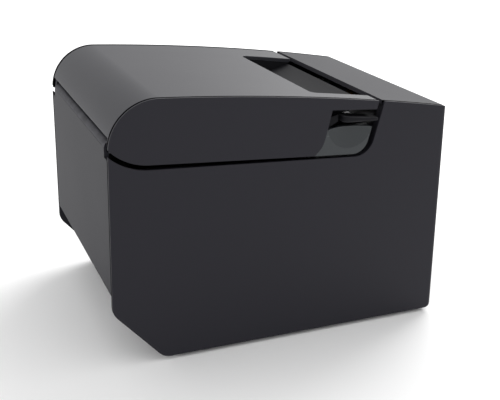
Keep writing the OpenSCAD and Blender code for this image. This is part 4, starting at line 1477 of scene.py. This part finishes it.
    def rocker_housing(self) -> None:
        """Builds the frame round the rocker."""
        low, high = span("rocker_housing")
        shell = Workpiece.block("rocker_frame", tuple(low), tuple(high))
        shell.soften_where(1.0, along_depth)
        well = self.round_rocker("well", 0.3, low.y - 1, low.y + 10)
        middle = (self.rocker[0], pivot("power_rock")[0], self.rocker[1])
        seat = Workpiece.rod("seat", Plane.SIDE, middle, 1.55, self.rocker_size[0] + 3, 32)
        self.place(shell.cut(well, seat).soften(0.3), "base", "inner_black", "rocker_housing")

    def rocker_key(self) -> None:
        """Builds the two-faced rocker with a raised dot on its lower half."""
        (rx, _), (rw, rh) = self.rocker, self.rocker_size
        axis, tilt = pivot("power_rock"), -5
        shape = [
            (-4.6, rh / 2 - 0.8), (-3.5, 3), (-3.2, 0), (-3.5, -3), (-4.6, -rh / 2 + 0.8),
            (1.5, -rh / 2 + 2.5), (3, 0), (1.5, rh / 2 - 2.5),
        ]
        spots = [turned((axis[0] + a, axis[1] + b), axis, tilt) for a, b in shape]
        line = Outline("power_rocker_key", Plane.SIDE, rx - rw / 2, spots[0])
        key = line.line(*spots[1:]).fill(rw).soften(0.5, 3, 40)
        pin = Workpiece.rod("pin", Plane.SIDE, (rx, *axis), 1.5, rw + 2.4, 32)
        dot_at = turned((axis[0] - 3.95, axis[1] - 5.6), axis, tilt)
        key.add(pin, Workpiece.rod("dot", Plane.FRONT, (rx, *dot_at), 1.1, 1.2, 24))
        self.place(key, "power_switch", "switch_black", "power_rocker")

    def build(self) -> None:
        """Builds and dresses the cover and its controls."""
        self.shell()
        for hand in Hand:
            self.seam_inlay(hand)
        self.feed_key()
        self.light_pipes()
        self.rocker_housing()
        self.rocker_key()


@dataclass
class Lid(Assembly):
    """The clamshell lid: skin, two cheeks, finger scoop and exit guide."""

    groove: float = 1.8
    sunk: float = 0.08
    edge: float = 0.3
    cheek_edge: float = 0.5
    notch_x: Point2 = (-57.5, 42.5)
    notch_y: float = -15
    notch_r: float = 4
    notch_wall: float = 1.6
    lobe_in: float = 62.6
    lobe_gap: float = 1.1
    lobe_ahead: float = 8.7
    seam_wall_in: float = 49
    grip_y: float = -20
    grip_top: float = 121.9
    dish_r: float = 14
    dish_deep: float = 5
    guide_t: float = 1.8
    guide_sag: float = 1.2

    @property
    def deck_z(self) -> float:
        """Height of the crown at the front edge of the lid."""
        return self.form.crown_z(self.form.seam_foot[0])

    @property
    def lip_z(self) -> float:
        """Underside of the lip over the finger grip, at the front edge."""
        return self.deck_z - 5

    def skin(self) -> None:
        """Builds the crowned skin with the notch for the paper exit."""
        f = self.form
        half = f.lap_x - self.groove
        line = Outline("lid_skin_shell", Plane.SIDE, -half, f.seam_top())
        f.draw_back(line, 0, f.skin_low)
        sheet = line.sweep(2 * half)
        sheet.thicken(f.wall, Vector((0, 0, 1)))
        (x0, x1), y1 = self.notch_x, self.notch_y
        tool = Outline("notch", Plane.TOP, f.top_z - 25, (x0, f.front_y))
        tool.corner((x0, y1), (x1, y1), self.notch_r)
        tool.corner((x1, y1), (x1, f.front_y), self.notch_r)
        cutter = tool.line((x1, f.front_y)).fill(40)
        self.place(sheet.cut(cutter).soften(self.edge), "lid", "lid_black", "lid_skin")

    def seam_inlay(self, hand: Hand) -> None:
        """Lays a near-black strip in the seam between the skin and a cheek, a painted shadow in the groove."""
        f, side = self.form, hand.value
        level, deep = side * (f.lap_x - self.groove), self.sunk + 1.1
        line = Outline(f"lid_seam_{hand.word}", Plane.SIDE, level, f.seam_top(0, self.sunk))
        f.draw_back(line, self.sunk, f.rear_c[1] + 0.6)
        end = bearing(f.rear_c, line.at)
        line.line(around(f.rear_c, f.rear_r - deep, end))
        line.arc(f.rear_c, 90 + f.crown_turn - end, 4)
        f.draw_crown(line, f.seam_top(0, deep)[0])
        self.place_seam_shadow(line.fill(side * self.groove).soften(0.05, 1, 60), "lid")

    def grip_edge(self) -> list[Point2]:
        """The rear edge of the finger grip, from the lower edge of the cheek up to the lip."""
        z = self.lip_z
        marks = [
            (self.grip_y + 7.4, z - 23.1), (self.grip_y + 3.4, z - 18.5),
            (self.grip_y + 1.4, z - 12.8), (self.grip_y - 0.3, z - 4.5),
            (self.grip_y - 1.5, z + 1.5),
        ]
        smooth: list[Point2] = []
        for i in range(len(marks) - 1):
            before, after = marks[max(i - 1, 0)], marks[min(i + 2, len(marks) - 1)]
            for k in range(4):
                t = k / 4
                smooth.append(tuple(
                    0.5 * (
                        2 * p1 + (p2 - p0) * t + (2 * p0 - 5 * p1 + 4 * p2 - p3) * t * t
                        + (3 * p1 - p0 - 3 * p2 + p3) * t**3
                    )
                    for p0, p1, p2, p3 in zip(before, marks[i], marks[i + 1], after)
                ))
        return smooth + [marks[-1]]

    def draw_cheek(self, name: str, level: float, deep: float, hand: Hand) -> Outline:
        """Draws the closed outline of a cheek.

        Args:
            name: Name of the piece.
            level: Place across the width.
            deep: How far the top stays below the skin's outer face.
            hand: Side of the cheek; the left one has the finger grip.

        Returns:
            The outline, ready to be filled.
        """
        f = self.form
        back = f.rear_y - deep
        start = around(f.cheek_c, f.cheek_r, f.cheek_start(back))
        line = Outline(name, Plane.SIDE, level, start)
        if hand is Hand.RIGHT:
            f.draw_low_edge(line, f.cheek_front_r)
        else:
            line.arc(f.cheek_c, -90 + f.cheek_slope - f.cheek_start(back))
            line.line(*self.grip_edge())
            line.line((f.seam_y(self.lip_z), self.lip_z))
        line.line(f.seam_top(0, deep))
        f.draw_back(line, deep, max(start[1], f.rear_c[1] + 0.05))
        return line

    def cheek(self, hand: Hand) -> None:
        """Builds one cheek with its inner layer and hinge lobe."""
        f, side = self.form, hand.value
        outer = self.draw_cheek(f"lid_cheek_{hand.word}_shell", side * f.lap_x, 0, hand)
        shell = outer.fill(side * f.lap)
        inner = self.draw_cheek("inner_layer", side * f.in_x, f.wall, hand)
        shell.add(inner.fill(side * (f.lap + BITE)))
        lobe = self.lobe(hand)
        middle = (side * (self.lobe_in + f.half_w - 2) / 2, *f.hinge)
        for part in (shell, lobe):
            part.cut(Workpiece.rod("seat", Plane.SIDE, middle, 1.5, f.half_w - self.lobe_in, 32))
        shell.join(lobe, self.lip() if hand is Hand.LEFT else self.seam_wall())
        self.place(shell.soften(self.cheek_edge), "lid", "case_black", f"lid_cheek_{hand.word}")

    def lobe(self, hand: Hand) -> Workpiece:
        """The lobe inside a cheek that holds the hinge pin, just clear of the cheek's edges."""
        f, side, clear = self.form, hand.value, 0.1
        ends = (f.rear_y - self.lobe_gap, f.hinge[0] - self.lobe_ahead)
        first, last = (f.cheek_start(y, -clear) for y in ends)
        start, foot = (around(f.cheek_c, f.cheek_r - clear, angle) for angle in (first, last))
        line = Outline("lobe", Plane.SIDE, side * self.lobe_in, start)
        line.arc(f.cheek_c, last - first)
        top, radius = f.hinge[1] + 10, f.rear_r - f.wall - clear
        rise = math.degrees(math.asin((top - f.rear_c[1]) / radius))
        line.line((foot[0], top), around(f.rear_c, radius, rise))
        line.arc(f.rear_c, 14 - rise, 6)
        line.line(around(f.rear_c, f.rear_r - self.lobe_gap, 14)).arc(f.rear_c, -14, 6)
        return line.fill(side * (f.lap_x + BITE - self.lobe_in))

    def lip(self) -> Workpiece:
        """The solid lip over the finger grip."""
        f, z = self.form, self.lip_z
        line = Outline("lip", Plane.SIDE, -f.in_x - BITE, f.seam_top(0, f.wall))
        f.draw_crown(line, self.grip_y)
        line.line((self.grip_y, z + 1.5), (f.seam_y(z), z))
        return line.fill(f.in_x + BITE + self.notch_x[0] - self.notch_wall)

    def seam_wall(self) -> Workpiece:
        """The wall that closes the right cheek towards the front seam."""
        f = self.form
        top = f.seam_top(0, f.wall + 0.05)
        corner = f.front_corner(f.cheek_front_r, 0, 0)
        line = Outline("seam_wall", Plane.SIDE, self.seam_wall_in, top)
        line.line(around(corner, f.cheek_front_r, 180 + f.seam_lean))
        line.arc(corner, 42, 8)
        foot = line.at
        line.line((f.seam_y(foot[1]) + 3 + 2.2, foot[1]), (f.seam_y(116) + 3, 116))
        line.line((f.seam_y(top[1]) + 3, top[1]))
        return line.fill(f.in_x + BITE - self.seam_wall_in)

    def scoop(self) -> None:
        """Builds the dished finger scoop under the opening lever."""
        f, edge = self.form, self.grip_edge()
        z = self.lip_z
        line = Outline("finger_scoop", Plane.SIDE, -f.half_w, edge[0])
        corner = f.front_corner(f.cheek_front_r, 0, 0)
        line.line(around(corner, f.cheek_front_r, 270 + f.cheek_slope))
        line.arc(corner, f.seam_lean - 90 - f.cheek_slope, 8)
        line.line((f.seam_y(self.grip_top), self.grip_top), (self.grip_y - 10, self.grip_top))
        line.line(*reversed([p for p in edge[1:] if p[1] < z - 12.5]))
        block = line.fill(8)
        rise = Outline("rise", Plane.SIDE, -f.half_w, (self.grip_y - 12, self.grip_top - 4))
        rise.line((self.grip_y - 12, self.grip_top), (self.grip_y + 0.8, self.grip_top))
        rise.line((self.grip_y + 1.4, z - 12.8), (self.grip_y + 2.2, z - 15.5))
        block.add(rise.fill(4.6))
        clear_bench()
        radius = (self.dish_r**2 + self.dish_deep**2) / (2 * self.dish_deep)
        spot = (-f.half_w - radius + self.dish_deep, self.grip_y - 13, z - 6.4)
        bpy.ops.mesh.primitive_uv_sphere_add(
            segments=128, ring_count=64, radius=radius * MM, location=Vector(spot) * MM
        )
        block.cut(Workpiece("ball")).soften(0.3, 3, 40)
        block.finish("lid", "inner_black", self.finishes.scoop, ("grip_scoop",))

    def exit_guide(self) -> None:
        """Builds the dished guide in the notch with its side walls and shaft bosses."""
        f = self.form
        (x0, x1), y1, t = self.notch_x, self.notch_y, self.guide_t
        deck = self.deck_z
        rear, front = (y1, deck - 8.8), (f.seam_y(deck - 1.4) + 1.2, deck - 3.6)
        chord, sag = Vector(front) - Vector(rear), self.guide_sag
        radius = (chord.length / 2) ** 2 / (2 * sag) + sag / 2
        across = Vector((chord.y, -chord.x)).normalized()
        if across.y < 0:
            across = -across
        middle = (Vector(front) + Vector(rear)) / 2 + across * (radius - sag)
        sweep = bearing(tuple(middle), front) - bearing(tuple(middle), rear)
        line = Outline("exit_guide_shell", Plane.SIDE, x0 - 0.2, rear)
        line.arc(tuple(middle), (sweep + 180) % 360 - 180, 1.2)
        plate = line.sweep(x1 - x0 + 0.4).thicken(t, Vector((0, 0, 1)))
        boss = pivot("latch_turn")
        for x in (x0 - self.notch_wall, x1):
            wall = Outline("wall", Plane.SIDE, x, (front[0] + 0.6, front[1] - 2))
            top = f.seam_top(0, f.wall)
            wall.line((top[0] + 0.4, f.crown_z(top[0] + 0.4, f.wall)))
            f.draw_crown(wall, y1 + self.notch_wall)
            wall.line((y1 + self.notch_wall, boss[1] - 5), (boss[0] - 6, boss[1] - 5))
            wall.line((boss[0] - 6, rear[1] - 2))
            plate.add(wall.fill(self.notch_wall))
            spot = (x + self.notch_wall / 2, *boss)
            plate.add(Workpiece.rod("boss", Plane.SIDE, spot, 4, self.notch_wall, 40))
        high = (x1 + 0.2, y1 + self.notch_wall, f.crown_z(y1, f.wall))
        back = Workpiece.block("back", (x0 - 0.2, y1, rear[1] - t), high)
        bore = Workpiece.rod("bore", Plane.SIDE, ((x0 + x1) / 2, *boss), 2.05, x1 - x0 + 12, 32)
        self.place(plate.add(back).cut(bore).soften(0.3), "lid", "inner_black", "exit_guide")

    def lever(self) -> None:
        """Builds the opening lever: hub, arm and the bar for the fingertip."""
        f, (y, z) = self.form, pivot("latch_turn")
        bar_z, x0 = self.deck_z - 9.4, -f.half_w + 0.5
        x1 = self.notch_x[0] - self.notch_wall - 2.6
        hub_x, long = x0 + 4.5, x1 - x0 - 4.5
        hub = Workpiece.rod("open_lever_arm", Plane.SIDE, ((hub_x + x1) / 2, y, z), 4, long)
        arm = Outline("arm", Plane.SIDE, hub_x, (y, z + 4)).line(
            (y - 3, z - 2.5), (self.grip_y - 8, bar_z - 1.9), (self.grip_y - 8, bar_z + 1.9)
        )
        hub.add(arm.fill(long))
        tip, rear = span("open_lever")[0].y, self.grip_y - 9
        line = Outline("bar", Plane.SIDE, x0, (rear, bar_z - 1.9))
        line.line((rear, bar_z + 2.1), (tip, bar_z - 0.2), (tip, bar_z - 2.2))
        bar = line.fill(x1 - x0)
        bar.soften_where(3.4, lambda at, way: abs(way.z) > 0.9 and at.x < x0 + 1 and at.y > -32, 7)
        bar.soften(0.7, 4)
        bore = Workpiece.rod("bore", Plane.SIDE, ((hub_x + x1) / 2, y, z), 2.0, long + 2)
        hub.cut(bore).soften(0.35, 3, 40).add(bar)
        self.place(hub, "latch", "inner_black", "open_lever")

    def build(self) -> None:
        """Builds and dresses the lid."""
        self.skin()
        for hand in Hand:
            self.cheek(hand)
            self.seam_inlay(hand)
        self.scoop()
        self.exit_guide()
        self.lever()


@dataclass
class Feet(Assembly):
    """Four rubber feet with a chamfered rim and a ring in the tread."""

    radius: float = 6

    def build(self) -> None:
        """Builds one foot and copies it to the four corners."""
        low, high = span("rubber_feet")
        r = self.radius
        x, y0, y1 = high.x - r, low.y + r, high.y - r
        first = Workpiece.rod("foot_1", Plane.TOP, (-x, y0, high.z / 2), r, high.z, 48)
        with first.editing():
            first.pick(Element.FACE, lambda _, way: way.z < -0.9)
            bpy.ops.mesh.inset(thickness=2.0 * MM, depth=0)
            bpy.ops.mesh.inset(thickness=0.4 * MM, depth=-0.5 * MM)
        first.soften(0.4, 3, 50)
        for foot in first.repeat([(2 * x, 0, 0), (0, y1 - y0, 0), (2 * x, y1 - y0, 0)]):
            self.place(foot, "base", "rubber_black", "rubber_feet")


@dataclass
class HeadSprings(Assembly):
    """Three wound compression springs behind the print head."""

    wire_r: float = 0.35
    turns: int = 6

    def build(self) -> None:
        """Winds one spring with a screw modifier and copies it."""
        low, high = span("head_springs")
        coil_r = (high.z - low.z) / 2 - self.wire_r
        length, z = high.y - low.y - 2 * self.wire_r, (low.z + high.z) / 2
        first_x, last_x = low.x + coil_r + self.wire_r, high.x - coil_r - self.wire_r
        clear_bench()
        bpy.ops.mesh.primitive_circle_add(
            vertices=10,
            radius=self.wire_r * MM,
            location=(coil_r * MM, 0, 0),
            rotation=(math.pi / 2, 0, 0),
        )
        spring = Workpiece("head_spring_1")
        spring.modify(
            "SCREW",
            axis="Z",
            screw_offset=length / self.turns * MM,
            iterations=self.turns,
            steps=28,
            render_steps=28,
            use_merge_vertices=True,
        )
        with spring.editing():
            bpy.ops.mesh.select_all(action="DESELECT")
            bpy.ops.mesh.select_mode(type="EDGE")
            bpy.ops.mesh.select_non_manifold()
            bpy.ops.mesh.edge_face_add()
            bpy.ops.mesh.select_all(action="SELECT")
            bpy.ops.transform.rotate(
                value=math.pi / 2, orient_axis="X", center_override=(0, 0, 0)
            )
        box = [min(v.co[i] for v in spring.body.data.vertices) / MM for i in range(3)]
        shift = (first_x - box[0] - coil_r - self.wire_r, low.y - box[1], z)
        with spring.editing():
            bpy.ops.mesh.select_all(action="SELECT")
            bpy.ops.transform.translate(value=Vector(shift) * MM)
        step = (last_x - first_x) / 2
        for one in spring.repeat([(step, 0, 0), (2 * step, 0, 0)]):
            self.place(one, "base", "bright_steel", "head_springs")


@dataclass
class CarriedNodes(Assembly):
    """The nodes whose own shape is right, which only get their finish."""

    def build(self) -> None:
        """Dresses every node."""
        for node in frame["nodes"]:
            self.finishes.dress(node)


# ---- Studio ----
@dataclass(frozen=True)
class SoftBox:
    """A square studio light that looks at a point."""

    name: str
    place: Point3
    target: Point3
    size: float
    power: float
    colour: Point3 = (1, 1, 1)

    def add(self) -> None:
        """Adds the light. Places and size are in metres."""
        clear_bench()
        bpy.ops.object.light_add(type="AREA", location=self.place)
        light = bpy.context.object
        light.name = self.name
        light.data.shape = "SQUARE"
        light.data.size = self.size
        light.data.energy = self.power
        light.data.color = self.colour
        look = Vector(self.target) - Vector(self.place)
        light.rotation_euler = look.to_track_quat("-Z", "Y").to_euler()


@dataclass(frozen=True)
class Studio:
    """Pale floor, soft lights and the camera."""

    azimuth: float = 246.40
    elevation: float = 21.15
    roll: float = 1.89
    lens: float = 61.06
    eye_m: Point3 = (-0.45148, 0.19104, 0.24884)

    def camera(self) -> None:
        """Adds the camera at the main viewing angle."""
        a, e, r = (math.radians(v) for v in (self.azimuth, self.elevation, self.roll))
        back = Vector((math.sin(a) * math.cos(e), -math.cos(a) * math.cos(e), math.sin(e)))
        right = Vector((math.cos(a), math.sin(a), 0))
        up = back.cross(right)
        right_turned = right * math.cos(r) + up * math.sin(r)
        up_turned = up * math.cos(r) - right * math.sin(r)
        clear_bench()
        bpy.ops.object.camera_add(location=self.eye_m)
        camera = bpy.context.object
        camera.name = "main_camera"
        turn = Matrix((right_turned, up_turned, back)).transposed()
        camera.rotation_mode = "QUATERNION"
        camera.rotation_quaternion = turn.to_quaternion()
        camera.data.sensor_width = 36
        camera.data.lens = self.lens
        camera.data.clip_start = 0.01
        camera.data.dof.use_dof = False
        bpy.context.scene.camera = camera

    def floor(self) -> None:
        """Adds the round pale floor."""
        clear_bench()
        bpy.ops.mesh.primitive_circle_add(vertices=96, radius=6, fill_type="NGON")
        floor = Workpiece("studio_floor").body
        s = Shader("pale_floor")
        soft = s.noise(400, 2)
        floor.data.materials.append(
            s.surface(
                Base_Color=s.mix(soft, (0.92, 0.92, 0.92), (0.95, 0.95, 0.95)), Roughness=0.9
            )
        )

    def sky(self) -> None:
        """Sets an even pale surround."""
        world = bpy.data.worlds.new("pale_surround")
        world.use_nodes = True
        ground = world.node_tree.nodes["Background"]
        ground.inputs["Color"].default_value = (1.0, 1.0, 1.0, 1.0)
        ground.inputs["Strength"].default_value = 1.0
        bpy.context.scene.world = world
        bpy.context.scene.view_settings.view_transform = "Standard"
        bpy.context.scene.view_settings.look = "None"

    def lights(self) -> None:
        """Adds the soft boxes."""
        for box in (
            SoftBox("top_front_box", (0.75, -0.9, 1.15), (0, -0.02, 0.12), 1.0, 18),
            SoftBox("rear_fill_box", (0.3, 1.3, 0.7), (0, 0.05, 0.08), 0.9, 0.4),
        ):
            box.add()

    def build(self) -> None:
        """Builds the whole studio."""
        self.sky()
        self.floor()
        self.lights()
        self.camera()


def main() -> None:
    """Builds the studio, the finishes and every sub-assembly in order."""
    logging.basicConfig(level=logging.INFO, format="%(name)s: %(message)s")
    Studio().build()
    form, finishes = CaseForm.from_frame(), Finishes()
    CarriedNodes(form, finishes).build()
    for hand in Hand:
        SideWall(form, finishes, hand).build()
    RearPanel(form, finishes).build()
    FrontCover(form, finishes).build()
    Lid(form, finishes).build()
    Feet(form, finishes).build()
    HeadSprings(form, finishes).build()
    clear_bench()


if __name__ == "__main__":
    main()
